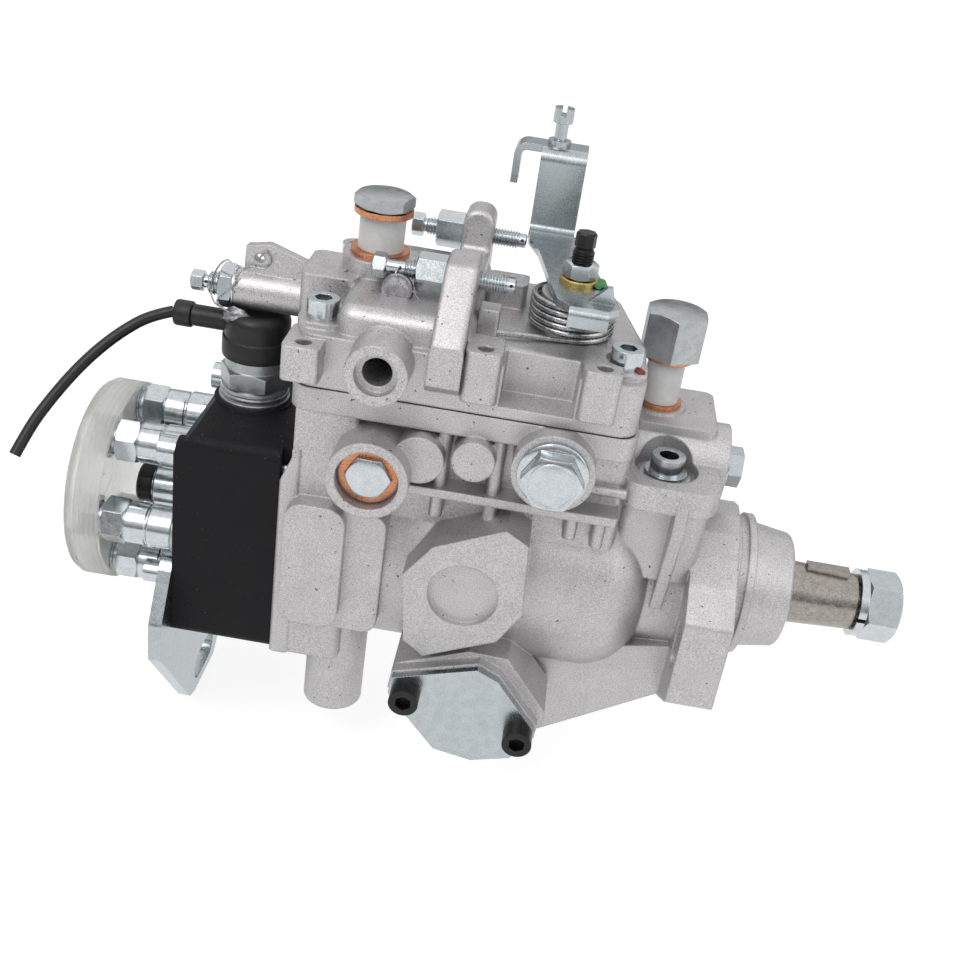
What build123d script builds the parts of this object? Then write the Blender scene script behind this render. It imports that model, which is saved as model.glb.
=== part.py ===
from build123d import *

import math
import os

# Distributor injection pump, six outlets. Millimetres.
# Origin: centre of the mounting flange's front face. +X is the driven end, +Z is up,
# -Y is the side with the plugs and the timing cover.

# ---------------------------------------------------------------- overall stations along X
flange_t = 16.0            # flange thickness, behind the origin
nose_len = 21.5            # nose in front of the flange
head_joint = -153.0        # joint between housing and distributor head
head_t = 35.0              # thickness of the head
head_face = head_joint - head_t
cover_left = -151.0
cover_right = -44.0
body_w = 76.0              # width of the body and of the cover's rim
deck_z = 66.5              # top of the housing
shelf_z = 58.5             # underside of the housing's rim
gasket_t = 0.5
rim_h = 17.0               # height of the cover's rim
dome_z = 93.0              # top of the cover's high part
low_roof_z = 84.5          # top of the cover's low part
screw_seat_z = 86.0        # seats of the cover screws
tapped_boss_z = 88.0       # tops of the tapped bosses on the near side

# ---------------------------------------------------------------- fits
run_fit = 0.05             # radial clearance of a running fit
seat_fit = 0.02            # radial clearance of a fixed seat
loose_fit = 0.3            # clearance of parts that pass each other

# ---------------------------------------------------------------- nose, flange and shaft
pilot_d = 50.0
pilot_len = 7.0
nose_d = 45.0
nose_end_d = 41.0
neck_d = 52.0
slot_r = 34.0              # mounting slots from the shaft axis
slot_w = 9.0
slot_z = -6.5
slot_len = 20.0
shaft_d = 23.0
cone_big_d = 22.4
cone_small_d = 20.0
cone_len = 24.0
thread_d = 14.0
thread_end = 63.0
bush_d = 27.0
seal_d = 35.0
seal_t = 8.0
nut_af = 22.0
nut_t = 12.0
washer_t = 2.8
key_w = 4.0
key_d = 15.0

# ---------------------------------------------------------------- chamber and what turns in it
drum_d = 76.0
bore_d = 61.0              # long bore of the housing
vane_ring_t = 16.0
vane_plate_t = 4.0
pump_x = -19.0             # front face of the vane pump
vane_bore_d = 46.0         # its bore in the housing's neck
rotor_d = 33.0
vane_offset = 1.6          # eccentricity of the vane ring
vane_t = 2.4
gear_module = 1.5
drive_teeth = 36
governor_teeth = 24
gear_t = 8.0
gear_backlash = 0.25
gear_x = -56.0             # rear face of the drive gear
ring_x = -89.0             # rear face of the roller ring
ring_t = 14.0
roller_d = 10.0
roller_count = 6
cam_lift = 2.2
cam_t = 8.0
cam_face = -93.5           # tips of the cam lobes are a lift ahead of it
claw_w = 6.0
plunger_d = 10.0
plunger_end = head_joint - 25.0
sleeve_d = 18.0            # control sleeve on the plunger
sleeve_len = 10.0
sleeve_x = -121.0
hub_len = 21.0             # head hub inside the housing
barrel_d = 18.0

# ---------------------------------------------------------------- governor
governor_z = gear_module * (drive_teeth + governor_teeth) / 2
governor_shaft_d = 8.0
governor_shaft_end = -100.0
holder_d = 33.0
weight_count = 4
pivot_x = -63.5            # hinge pins of the flyweights
pivot_r = 11.5
pivot_pin_d = 2.4
toe_x = -63.6
slider_d = 14.0
slider_nub = 1.0
lever_pivot_x = -109.0
lever_pivot_z = 30.0

# ---------------------------------------------------------------- timing device
timing_x = -82.0
timing_z = -42.4
piston_d = 20.0
timing_face = 50.0         # pads of the timing covers from the middle plane
timing_cover_t = 3.0
timing_pad_t = 4.5         # step of the pad under each timing cover
timing_bolts_xz = ((-102.5, -31.7), (-63.2, -40.9))
timing_bolt_d = 6.0

# ---------------------------------------------------------------- head and outlets
head_lap = 3.6             # the head's upper edge laps over the housing's sloping shoulder
head_lap_z = 31.5
head_slope_x = 5.0         # slope of the head's upper rear edge
head_slope_z = 6.5
head_plug_d = 14.0
outlet_count = 6
outlet_r = 27.5
outlet_thread_d = 12.0
holder_af = 14.0
holder_body_d = 14.4
ring_seal_t = 1.0
cap_d = 71.0
cap_len = 12.6
cap_x = head_face - 38.5
cap_wall = 1.6

# ---------------------------------------------------------------- cover and control
control_x = -69.0
control_d = 9.0
control_boss_d = 22.0
control_boss_z = 96.5
stud_x = -82.5             # link stud on the lever's tongue
stud_y = 57.5
tongue_z = 128.5
strap_y = 52.0
plate_z = 98.0             # underside of the speed lever
plate_t = 2.5
screw_z = 99.2             # axis of the idle stop screw
idle_y = 36.5
post_x = -110.0            # rear faces of the posts that hold the stop screws
post_t = 10.5
stop_nut_x = -119.2
max_speed_y = -13.0
max_speed_z = 100.1
return_x = -133.5
return_y = 3.0
return_boss_z = 98.4
full_load_z = 80.0
corner_hole_x = -147.2     # tapped hole in the boss at the cover's near corner
corner_hole_y = -41.5
corner_hole_z = 82.7
cover_screws_xy = ((-145.0, -27.0), (-145.0, 27.0), (-51.2, -27.0), (-66.5, 29.0))
inlet_x = -35.0
inlet_y = 7.0
inlet_z = 61.0
inlet_sleeve_h = 15.1
valve_x = -30.6
valve_y = -18.6
valve_z = 50.0
valve_seat_d = 21.0
solenoid_x = -171.4
solenoid_z = 41.0
solenoid_d = 18.0
solenoid_top = 69.0
boot_low_z = solenoid_z + 16.3
head_screw_yz = ((30, -24), (30, 32), (-30, 32))
bracket_screw_yz = ((-31, -16), (8, -37.5))
bracket_t = 4.5
bracket_slot_len = 24.0
bracket_slot_w = 12.0

# ---------------------------------------------------------------- wire of the solenoid
wire_d = 3.8
wire_route = [
    (-200.1, 0.0, 67.5),
    (-207.2, -2.0, 65.6),
    (-215.0, -7.0, 60.6),
    (-221.6, -12.5, 54.8),
    (-227.8, -18.5, 47.6),
    (-233.2, -25.0, 39.6),
    (-237.3, -31.0, 32.4),
    (-240.0, -37.5, 24.6),
]

half_w = body_w / 2
cover_z = deck_z + gasket_t
rim_z = cover_z + rim_h
shaft_r = shaft_d / 2
nose_end_r = nose_end_d / 2
outlet_angles = [180 + 360 / outlet_count * i for i in range(outlet_count)]


def outline(*points):
    """Closed straight-sided outline in the current sketch."""
    Polygon(*points, align=None)


def turned(*points, mode=Mode.ADD):
    """Half profile (x, radius), turned about the shaft axis."""
    with BuildSketch(Plane.XZ) as profile:
        outline(*points)
    revolve(profile.sketch, axis=Axis.X, mode=mode)


def block(x0, x1, y0, y1, z0, z1, corner=0.0, mode=Mode.ADD):
    """Upright block between two corners, its vertical edges rounded."""
    with BuildSketch(Plane((x0 / 2 + x1 / 2, y0 / 2 + y1 / 2, z0))) as profile:
        if corner:
            RectangleRounded(x1 - x0, y1 - y0, corner)
        else:
            Rectangle(x1 - x0, y1 - y0)
    extrude(profile.sketch, amount=z1 - z0, mode=mode)


def along_x(x0, x1, y, z, d, mode=Mode.ADD):
    """Round bar or hole along X."""
    with BuildSketch(Plane((x0, y, z), x_dir=(0, 1, 0), z_dir=(1, 0, 0))) as profile:
        Circle(d / 2)
    extrude(profile.sketch, amount=x1 - x0, mode=mode)


def along_y(y0, y1, x, z, d, mode=Mode.ADD):
    """Round bar or hole along Y."""
    with BuildSketch(Plane((x, y0, z), x_dir=(1, 0, 0), z_dir=(0, 1, 0))) as profile:
        Circle(d / 2)
    extrude(profile.sketch, amount=y1 - y0, mode=mode)


def along_z(z0, z1, x, y, d, mode=Mode.ADD):
    """Round bar or hole along Z."""
    with BuildSketch(Plane((x, y, z0))) as profile:
        Circle(d / 2)
    extrude(profile.sketch, amount=z1 - z0, mode=mode)


def hexagon_x(x0, x1, y, z, across):
    """Hexagon along X, given across its flats."""
    with BuildSketch(Plane((x0, y, z), x_dir=(0, 1, 0), z_dir=(1, 0, 0))) as profile:
        RegularPolygon(across / 2, 6, major_radius=False)
    extrude(profile.sketch, amount=x1 - x0)


def hexagon_z(z0, z1, x, y, across, turn=0):
    """Hexagon along Z, given across its flats."""
    with BuildSketch(Plane((x, y, z0))) as profile:
        RegularPolygon(across / 2, 6, major_radius=False, rotation=turn)
    extrude(profile.sketch, amount=z1 - z0)


def side_profile(y0, y1, *points, mode=Mode.ADD):
    """Outline in X and Z, extruded between two Y values."""
    with BuildSketch(Plane((0, y0, 0), x_dir=(1, 0, 0), z_dir=(0, -1, 0))) as profile:
        outline(*points)
    extrude(profile.sketch, amount=y0 - y1, mode=mode)


def folded(plane, width, rounds, *points):
    """Folded sheet: its outline in a plane, given points rounded, extruded over its width."""
    with BuildSketch(plane) as profile:
        outline(*points)
        for number, radius in rounds:
            fillet(profile.vertices().sort_by_distance(Vector(*points[number]))[0], radius)
    extrude(profile.sketch, amount=width)


def ring_around_x(x0, x1, y, z, outer, inner):
    """Flat ring along X."""
    with BuildSketch(Plane((x0, y, z), x_dir=(0, 1, 0), z_dir=(1, 0, 0))) as profile:
        Circle(outer / 2)
        Circle(inner / 2, mode=Mode.SUBTRACT)
    extrude(profile.sketch, amount=x1 - x0)


def ring_around_z(z0, z1, x, y, outer, inner):
    """Flat ring along Z."""
    with BuildSketch(Plane((x, y, z0))) as profile:
        Circle(outer / 2)
        Circle(inner / 2, mode=Mode.SUBTRACT)
    extrude(profile.sketch, amount=z1 - z0)


def around(radius, angle, y=0.0, z=0.0):
    """Point on a circle about an axis along X."""
    return (y + radius * math.cos(math.radians(angle)), z + radius * math.sin(math.radians(angle)))


def spoke(x, angle, y=0.0, z=0.0):
    """Plane across an axis along X, its own x turned to an angle from +Y."""
    return Plane((x, y, z), x_dir=(0, *around(1, angle)), z_dir=(1, 0, 0))


def gear_points(teeth, backlash, phase):
    """Involute gear outline, 20 degrees, as points (y, z) about its own axis."""
    pitch = gear_module * teeth / 2
    base = pitch * math.cos(math.radians(20))
    tip = pitch + gear_module * 0.95
    root = pitch - gear_module * 1.25

    def opening(radius):
        roll = math.sqrt(max(radius * radius / (base * base) - 1, 0))
        return roll - math.atan(roll)

    half = math.pi / (2 * teeth) - backlash / (2 * pitch) + opening(pitch)
    start = max(root, base)
    flank = [root] + [start + (tip - start) * i / 3 for i in range(4)] if start > root else [root, pitch, tip]
    points = []
    for tooth in range(teeth):
        centre = math.radians(phase) + 2 * math.pi * tooth / teeth
        for radius in flank:
            angle = centre - (half - opening(radius))
            points.append((radius * math.cos(angle), radius * math.sin(angle)))
        for radius in reversed(flank):
            angle = centre + (half - opening(radius))
            points.append((radius * math.cos(angle), radius * math.sin(angle)))
    return points


def coil(base, way, radius, wire, pitch, height):
    """Helical spring of square wire, from a base point along a direction."""
    path = Helix(pitch=pitch, height=height, radius=radius, center=base, direction=way)
    start = Plane(path @ 0, z_dir=path % 0)
    with BuildSketch(start) as section:
        Rectangle(wire, wire)
    sweep(section.sketch, path=path, is_frenet=True)


def cover_outline(grow):
    """Plan of the cover's rim, its far front corner cut back, grown at the ends and at the corner."""
    left = cover_left - grow / 2
    right = cover_right + grow
    return (
        (left, -half_w), (right, -half_w), (right, -6),
        (right - 8.5, 34), (right - 13, half_w), (left, half_w),
    )


def timing_outline(inset):
    """Outline of a timing cover, drawn in by an inset, as points (x, z)."""
    points = (
        (-108.4, -26.5), (-80, -17.4), (-72.5, -20.8), (-57.2, -39.3), (-57.5, -44.2),
        (-64.2, -52.5), (-77.5, -56.4), (-91, -54), (-102.1, -41.4), (-109.1, -33),
    )
    middle_x = sum(x for x, z in points) / len(points)
    middle_z = sum(z for x, z in points) / len(points)
    shrink = 1 - inset / 22
    return [(middle_x + (x - middle_x) * shrink, middle_z + (z - middle_z) * shrink) for x, z in points]


os.makedirs("parts", exist_ok=True)

# ================================================================ pump housing
with BuildPart() as housing:
    # round chamber with its domed shoulder, neck, pilot and tapered nose
    with BuildSketch(Plane.XZ):
        with BuildLine():
            Polyline((-150, 0), (-150, drum_d / 2), (-47, drum_d / 2))
            ThreePointArc((-47, drum_d / 2), (-35.5, 34.0), (-28.5, neck_d / 2))
            Polyline(
                (-28.5, neck_d / 2),
                (-flange_t, neck_d / 2),
                (-flange_t, pilot_d / 2),
                (pilot_len, pilot_d / 2),
                (pilot_len, nose_d / 2),
                (nose_len - 2, nose_end_r),
            )
            ThreePointArc(
                (nose_len - 2, nose_end_r), (nose_len - 0.6, nose_end_r - 0.6), (nose_len, nose_end_r - 2),
            )
            Polyline((nose_len, nose_end_r - 2), (nose_len, 0), (-150, 0))
        make_face()
    revolve(axis=Axis.X)
    # groove of the pilot's sealing ring
    with BuildSketch(Plane.XZ):
        groove_r = pilot_d / 2 - 1.6
        outline((1.6, groove_r), (4.4, groove_r), (4.4, groove_r + 2.6), (1.6, groove_r + 2.6))
    revolve(axis=Axis.X, mode=Mode.SUBTRACT)
    # flange
    with BuildSketch(Plane.YZ.offset(-flange_t)) as flange:
        outline(
            (-41.5, 6), (-30, 15), (-12, 25.5), (-4, 28.5), (4, 28.5), (12, 25.5), (30, 15), (41.5, 6),
            (42, -26), (10, -46), (-10, -46), (-42, -26),
        )
        fillet(flange.vertices(), 3)
    extrude(flange.sketch, amount=flange_t)
    # upper body, its rim under the cover, and the thick end at the head
    block(-150, -43, -31, 31, 0, deck_z, 3)
    with BuildSketch(Plane.XY.offset(shelf_z)) as rim:
        outline(*cover_outline(1.0))
        fillet(rim.vertices(), 6)
    extrude(rim.sketch, amount=deck_z - shelf_z)
    block(head_joint, -129, -half_w + 1, half_w - 1, -36, shelf_z, 3)
    block(head_joint, -146, -half_w, half_w, -36, 44, 2)
    # lower web that ties the drum, the timing barrel and the flange together
    side_profile(
        -24, 24,
        (-68, -25), (-68, -59), (-62, -62.5), (-55, -61.5), (-flange_t, -36.5), (-flange_t, -16),
    )
    # ledge along both sides, with its short ribs
    short_ribs = ((-102, 28, shelf_z), (-84.8, 26.5, shelf_z), (-58.5, 28, 38), (-49.5, 26.5, 38))
    for side in (-1, 1):
        block(-113, -44.6, side * 34.5 - 5.5, side * 34.5 + 5.5, 36.5, 39.5, 1.2)
        for rib_x, low, high in short_ribs:
            block(rib_x - 2.2, rib_x + 2.2, side * 33 - 2.5, side * 33 + 2.5, low, high)
            along_z(low, high, rib_x, side * 35.5, 4.4)
        along_x(-56, -43, side * 32.4, 45, 3.6)
    # regulating valve terrace, inlet block and governor shaft boss
    block(-45.5, -13, -34, 24, 41, valve_z, 8)
    block(-44, -14, -27, 24, 12, 42, 6)
    block(-43, -15, -8, 24, 30, inlet_z - 1, 3)
    along_z(inlet_z - 1, inlet_z, inlet_x, inlet_y, 19)
    along_x(-43, -10, 0, governor_z, 28)
    # big plug boss, recessed plug boss and two blank pads
    along_y(-45, -25, -67.3, 54.3, 26)
    along_y(-50, -25, -123.3, 43.8, 26)
    along_y(-42.5, -28, -109, 50, 16)
    along_y(-42.5, -28, -92, 52.5, 13.5)
    # front-left pad in two steps
    with BuildSketch(Plane.XZ.offset(28)) as low_pad:
        with Locations((-133, 3)):
            RectangleRounded(33, 46, 5)
    extrude(low_pad.sketch, amount=12)
    with BuildSketch(Plane.XZ.offset(28)) as high_pad:
        with Locations((-139.4, 5)):
            RectangleRounded(20, 46, 6)
    extrude(high_pad.sketch, amount=16)
    # octagon boss
    side_profile(
        -48, -20,
        (-109, 11), (-100.6, 23), (-78.2, 33.4), (-70.6, 29),
        (-68.8, 3.2), (-75.6, -8.8), (-99, -19.5), (-106, -14.4),
    )
    # timing barrel across the body, with the pads of both covers
    along_y(-timing_face + 2, timing_face - 2, timing_x, timing_z, 30)
    for side in (-1, 1):
        side_profile(side * timing_face, side * (timing_face - timing_pad_t), *timing_outline(0))
        side_profile(
            side * (timing_face - timing_pad_t), side * 26,
            (-108.4, -26.5), (-84, -16.5), (-70.5, -17), (-55.2, -36.3), (-55.5, -42),
            (-64.2, -52.5), (-77.5, -56.4), (-91, -54), (-102.1, -41.4), (-109.1, -33),
        )
    # blind boss under the near rear corner
    along_z(-62, -20, -131.5, -22, 21)
    # ribs that stiffen the flange, from the terrace down to the neck
    for side in (-1, 1):
        with BuildSketch(Plane.YZ.offset(-26.5)) as rib:
            outline((side * 18, 48), (side * 34, 46), (side * 36, 35.5), (side * 27.5, 1), (side * 18, -4))
        extrude(rib.sketch, amount=4)
    # ---- cuts
    block(cover_left - 4, cover_right + 2, -half_w - 2, half_w + 2, deck_z, deck_z + 30, mode=Mode.SUBTRACT)
    side_profile(
        -half_w - 1, half_w + 1,
        (head_joint - 1, head_lap_z - loose_fit), (head_joint, head_lap_z - loose_fit),
        (head_joint + head_lap + loose_fit, solenoid_z), (head_joint + head_lap + loose_fit, shelf_z),
        (head_joint - 1, shelf_z),
        mode=Mode.SUBTRACT,
    )
    along_x(-flange_t, nose_len, 0, 0, bush_d, mode=Mode.SUBTRACT)
    along_x(nose_len - seal_t - 1, nose_len, 0, 0, seal_d, mode=Mode.SUBTRACT)
    along_x(-20, -flange_t, 0, 0, shaft_d + 1, mode=Mode.SUBTRACT)
    along_x(head_joint, pump_x - vane_ring_t, 0, 0, bore_d, mode=Mode.SUBTRACT)
    along_x(pump_x - vane_ring_t - 1, pump_x, 0, 0, vane_bore_d, mode=Mode.SUBTRACT)
    block(-128, -47, -22.5, 22.5, 0, deck_z, 3, mode=Mode.SUBTRACT)
    along_x(-48, -10, 0, governor_z, governor_shaft_d + 2 * seat_fit, mode=Mode.SUBTRACT)
    along_z(valve_z - 4, valve_z + 8, valve_x, valve_y, valve_seat_d, mode=Mode.SUBTRACT)
    along_z(27, valve_z, valve_x, valve_y, 12, mode=Mode.SUBTRACT)
    along_z(inlet_z - 10.5, inlet_z, inlet_x, inlet_y, 12, mode=Mode.SUBTRACT)
    along_y(-45, -36, -67.3, 54.3, 18, mode=Mode.SUBTRACT)
    along_y(-50, -45, -123.3, 43.8, 20, mode=Mode.SUBTRACT)
    along_y(-45, -34, -123.3, 43.8, 14, mode=Mode.SUBTRACT)
    along_y(-48, -45.6, -88.8, 6.5, 23, mode=Mode.SUBTRACT)
    along_y(-timing_face, timing_face, timing_x, timing_z, piston_d + 2 * run_fit, mode=Mode.SUBTRACT)
    block(timing_x - 5, timing_x + 5, -5, 12, timing_z, -25, 3, mode=Mode.SUBTRACT)
    for side in (-1, 1):
        with BuildSketch(Plane.YZ.offset(-flange_t - 14)) as stud_slot:
            with Locations(Location((side * slot_r, slot_z, 0))):
                SlotOverall(slot_len, slot_w, rotation=90)
        extrude(stud_slot.sketch, amount=flange_t + 14, mode=Mode.SUBTRACT)
    for x, y in cover_screws_xy:
        along_z(50, deck_z, x, y, 5, mode=Mode.SUBTRACT)
    along_y(-29.5, 29.5, lever_pivot_x, lever_pivot_z, 5 + 2 * run_fit, mode=Mode.SUBTRACT)
    for y, z in head_screw_yz + bracket_screw_yz:
        along_x(head_joint, head_joint + 13, y, z, 6 + 2 * seat_fit, mode=Mode.SUBTRACT)
    for side in (-1, 1):
        for x, z in timing_bolts_xz:
            along_y(
                side * (timing_face - 9), side * timing_face, x, z, timing_bolt_d + 2 * seat_fit,
                mode=Mode.SUBTRACT,
            )
housing.part.label = "pump_housing"
export_step(housing.part, "parts/pump_housing.step")

# ================================================================ governor cover and its gasket
with BuildPart() as cover:
    with BuildSketch(Plane.XY.offset(cover_z)) as rim:
        outline(*cover_outline(0))
        fillet(rim.vertices(), 6.5)
    extrude(rim.sketch, amount=rim_h)
    # high part, with rounded shoulders
    with BuildSketch(Plane((-119, 0, rim_z - 1))) as high_part:
        RectangleRounded(42, 70, 6)
    extrude(high_part.sketch, amount=dome_z - rim_z + 1)
    fillet(edges().filter_by(Plane.XY).group_by(Axis.Z)[-1], 5)
    # wall towards the full-load screw, and its round boss with the ear for the seal wire
    block(-156, -138, -12, 12, 70, dome_z, 3)
    along_x(-179, -140, 0, full_load_z, 13)
    side_profile(-1.8, 1.8, (-176.5, 84), (-176, 95), (-168.5, 96.5), (-156, 92.5), (-150, 84))
    # low part under the return spring, and the boss of the control shaft
    folded(
        Plane.YZ.offset(-102), 46, ((1, 4.5), (2, 4.5)),
        (-28, rim_z - 8), (-28, low_roof_z), (28, low_roof_z), (28, rim_z - 8),
    )
    along_z(low_roof_z - 1, control_boss_z, control_x, 0, control_boss_d)
    # seats of the four screws
    for x, y in cover_screws_xy:
        block(x - 7, x + 7, y - 7, y + 7, rim_z - 8, screw_seat_z, 5)
    # tapped bosses of the near side, the last one in front of the rim's corner
    block(-99.2, -88, -41, -26, 71.5, tapped_boss_z, 2.5)
    block(-63.6, -52, -41, -20, 71.5, tapped_boss_z, 2.5)
    block(
        corner_hole_x - 5.9, corner_hole_x + 5.8, corner_hole_y - 5, -28,
        corner_hole_z - 11.2, corner_hole_z, 2,
    )
    # port boss, return boss
    along_y(-50, -28, -123.8, 79.1, 19.4)
    along_z(dome_z - 6, return_boss_z, return_x, return_y, 23.6)
    # posts of the two stop screws on one cast bridge, their corners rounded
    with BuildSketch(Plane.YZ.offset(post_x)) as bridge:
        outline(
            (-41.5, 75), (-41.5, 88), (-21, 106.8), (-5.5, 106.8), (3, 96), (28, 96),
            (30, 109), (42, 109), (43, 88), (34, 72), (-38, 72),
        )
        fillet(bridge.vertices().filter_by_position(Axis.Y, 95, 107), 2)
    extrude(bridge.sketch, amount=post_t)
    for post_z, rounding in ((109, 4.5), (106.8, 1.8)):
        crest = edges().filter_by(Axis.Y).filter_by_position(Axis.Z, post_z - 0.1, post_z + 0.1)
        fillet(crest, rounding)
    # ear with a tapped hole behind, stop post of the spring's leg
    block(-98, -84.6, 9, 20, rim_z - 2, 93, 2)
    block(-98, -91.5, -19, -12, rim_z - 2, 93.5, 1)
    # ---- cuts
    block(-137, -100, -20, 20, cover_z, dome_z - 5, 3, mode=Mode.SUBTRACT)
    block(-104, -56, -20, 20, cover_z, low_roof_z - 3.5, 3, mode=Mode.SUBTRACT)
    block(-87.2, -64.4, -40, -25.5, cover_z + 3.5, low_roof_z + 1, 1, mode=Mode.SUBTRACT)
    along_x(-180, -130, 0, full_load_z, 8 + 2 * seat_fit, mode=Mode.SUBTRACT)
    along_y(-2, 2, -171.5, 91.5, 3, mode=Mode.SUBTRACT)
    along_z(dome_z - 6, return_boss_z, return_x, return_y, 12 + 2 * seat_fit, mode=Mode.SUBTRACT)
    along_z(low_roof_z - 4, control_boss_z, control_x, 0, control_d + 2 * run_fit, mode=Mode.SUBTRACT)
    for y, z in ((idle_y, screw_z), (max_speed_y, max_speed_z)):
        along_x(post_x - 1, post_x + post_t + 1, y, z, 6 + 2 * seat_fit, mode=Mode.SUBTRACT)
    along_y(-50, -46.5, -123.8, 79.1, 13, mode=Mode.SUBTRACT)
    along_y(-50, -18, -123.8, 79.1, 9.2, mode=Mode.SUBTRACT)
    tapped = (
        (-93.5, -36.5, tapped_boss_z), (-57.5, -36.5, tapped_boss_z),
        (corner_hole_x, corner_hole_y, corner_hole_z), (-91.4, 14.5, 93),
    )
    for x, y, z in tapped:
        along_z(z - 9, z, x, y, 5, mode=Mode.SUBTRACT)
    for x, y in cover_screws_xy:
        along_z(screw_seat_z, dome_z + 8, x, y, 12.5, mode=Mode.SUBTRACT)
        along_z(cover_z, screw_seat_z, x, y, 6.6, mode=Mode.SUBTRACT)
cover.part.label = "governor_cover"
export_step(cover.part, "parts/governor_cover.step")

with BuildPart() as gasket:
    with BuildSketch(Plane.XY.offset(deck_z)) as sheet:
        outline(*cover_outline(0))
        fillet(sheet.vertices(), 6.5)
    extrude(sheet.sketch, amount=gasket_t)
    block(-128, -56, -20, 20, deck_z, cover_z, 3, mode=Mode.SUBTRACT)
    for x, y in cover_screws_xy:
        along_z(deck_z, cover_z, x, y, 6.6, mode=Mode.SUBTRACT)
gasket.part.label = "cover_gasket"
export_step(gasket.part, "parts/cover_gasket.step")

with BuildPart() as cover_screws:
    for x, y in cover_screws_xy:
        along_z(screw_seat_z, screw_seat_z + 6, x, y, 10)
        along_z(deck_z - 12, screw_seat_z + 1, x, y, 5 - 2 * seat_fit)
        with BuildSketch(Plane((x, y, screw_seat_z + 2.5))) as socket:
            RegularPolygon(2.5, 6, major_radius=False)
        extrude(socket.sketch, amount=4, mode=Mode.SUBTRACT)
cover_screws.part.label = "cover_screws"
export_step(cover_screws.part, "parts/cover_screws.step")

# ================================================================ drive shaft line
with BuildPart() as drive_shaft:
    turned(
        (-74, 0), (-74, shaft_r - 0.5), (-73.5, shaft_r), (nose_len + 1, shaft_r),
        (nose_len + 1, cone_big_d / 2), (nose_len + 1 + cone_len, cone_small_d / 2),
        (nose_len + 1 + cone_len, thread_d / 2), (thread_end - 1, thread_d / 2),
        (thread_end, thread_d / 2 - 1), (thread_end, 0),
    )
    # two claws of the coupling
    for side in (-1, 1):
        block(-83, -73, -3, 3, side * 7.75 - 2.75, side * 7.75 + 2.75, 0.8)
    # seat of the key in the cone, and of the vane rotor's key
    along_y(-key_w / 2, key_w / 2, nose_len + 14, 11.6, key_d, mode=Mode.SUBTRACT)
drive_shaft.part.label = "drive_shaft"
export_step(drive_shaft.part, "parts/drive_shaft.step")

with BuildPart() as woodruff_key:
    key_half = key_w / 2 - seat_fit
    along_y(-key_half, key_half, nose_len + 14, 11.6, key_d - 2 * seat_fit)
    block(nose_len, nose_len + 30, -key_w, key_w, 12.5, 25, mode=Mode.SUBTRACT)
woodruff_key.part.label = "woodruff_key"
export_step(woodruff_key.part, "parts/woodruff_key.step")

nut_x = thread_end - 1 - nut_t
with BuildPart() as spring_washer:
    ring_around_x(nut_x - washer_t, nut_x, 0, 0, 24, thread_d + 2 * loose_fit)
    block(nut_x - washer_t, nut_x, -13, -6, -0.8, 0.8, mode=Mode.SUBTRACT)
spring_washer.part.label = "spring_washer"
export_step(spring_washer.part, "parts/spring_washer.step")

with BuildPart() as shaft_nut:
    hexagon_x(nut_x, nut_x + nut_t, 0, 0, nut_af)
    chamfer_r = nut_af / math.sqrt(3)
    with BuildSketch(Plane.XZ) as crown:
        for edge_x, way in ((nut_x, 1), (nut_x + nut_t, -1)):
            Polygon(
                (edge_x, nut_af / 2 - 0.5), (edge_x, chamfer_r + 1), (edge_x + way * 1.6, chamfer_r + 1),
                align=None,
            )
    revolve(crown.sketch, axis=Axis.X, mode=Mode.SUBTRACT)
    along_x(nut_x, nut_x + nut_t, 0, 0, thread_d + 2 * seat_fit, mode=Mode.SUBTRACT)
shaft_nut.part.label = "shaft_nut"
export_step(shaft_nut.part, "parts/shaft_nut.step")

with BuildPart() as shaft_bush:
    ring_around_x(-flange_t, nose_len - seal_t - 2, 0, 0, bush_d - 2 * seat_fit, shaft_d + 2 * run_fit)
shaft_bush.part.label = "shaft_bush"
export_step(shaft_bush.part, "parts/shaft_bush.step")

with BuildPart() as shaft_seal:
    seal_x = nose_len - seal_t - 0.5
    seal_in = shaft_r + run_fit
    turned(
        (seal_x, seal_d / 2 - seat_fit), (seal_x + seal_t, seal_d / 2 - seat_fit),
        (seal_x + seal_t, seal_in + 1.5), (seal_x + seal_t - 1.5, seal_in),
        (seal_x + seal_t - 3, seal_in + 1.5), (seal_x + 4, seal_in + 1.2), (seal_x + 3, seal_in),
        (seal_x + 2, seal_in + 1.2), (seal_x + 2, seal_d / 2 - 2.2), (seal_x, seal_d / 2 - 2.2),
    )
shaft_seal.part.label = "shaft_seal"
export_step(shaft_seal.part, "parts/shaft_seal.step")

# ================================================================ vane feed pump
with BuildPart() as vane_ring:
    ring_around_x(pump_x - vane_ring_t, pump_x, 0, 0, vane_bore_d - 2 * seat_fit, 2)
    along_x(pump_x - vane_ring_t, pump_x, 0, vane_offset, rotor_d + 2 * vane_offset + 1.2, mode=Mode.SUBTRACT)
    plate_x = pump_x - vane_ring_t - vane_plate_t
    ring_around_x(
        plate_x, plate_x + vane_plate_t - seat_fit, 0, 0, bore_d - 2 * seat_fit, shaft_d + 2 * loose_fit,
    )
vane_ring.part.label = "vane_ring"
export_step(vane_ring.part, "parts/vane_ring.step")

with BuildPart() as vane_rotor:
    ring_around_x(pump_x - vane_ring_t + run_fit, pump_x - run_fit, 0, 0, rotor_d, shaft_d + 2 * seat_fit)
    for angle in (45, 135, 225, 315):
        with BuildSketch(spoke(pump_x - vane_ring_t, angle)) as vane_slot:
            with Locations((rotor_d / 2 - 1.2, 0)):
                Rectangle(5.4, vane_t + 2 * run_fit)
        extrude(vane_slot.sketch, amount=vane_ring_t, mode=Mode.SUBTRACT)
vane_rotor.part.label = "vane_rotor"
export_step(vane_rotor.part, "parts/vane_rotor.step")

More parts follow.
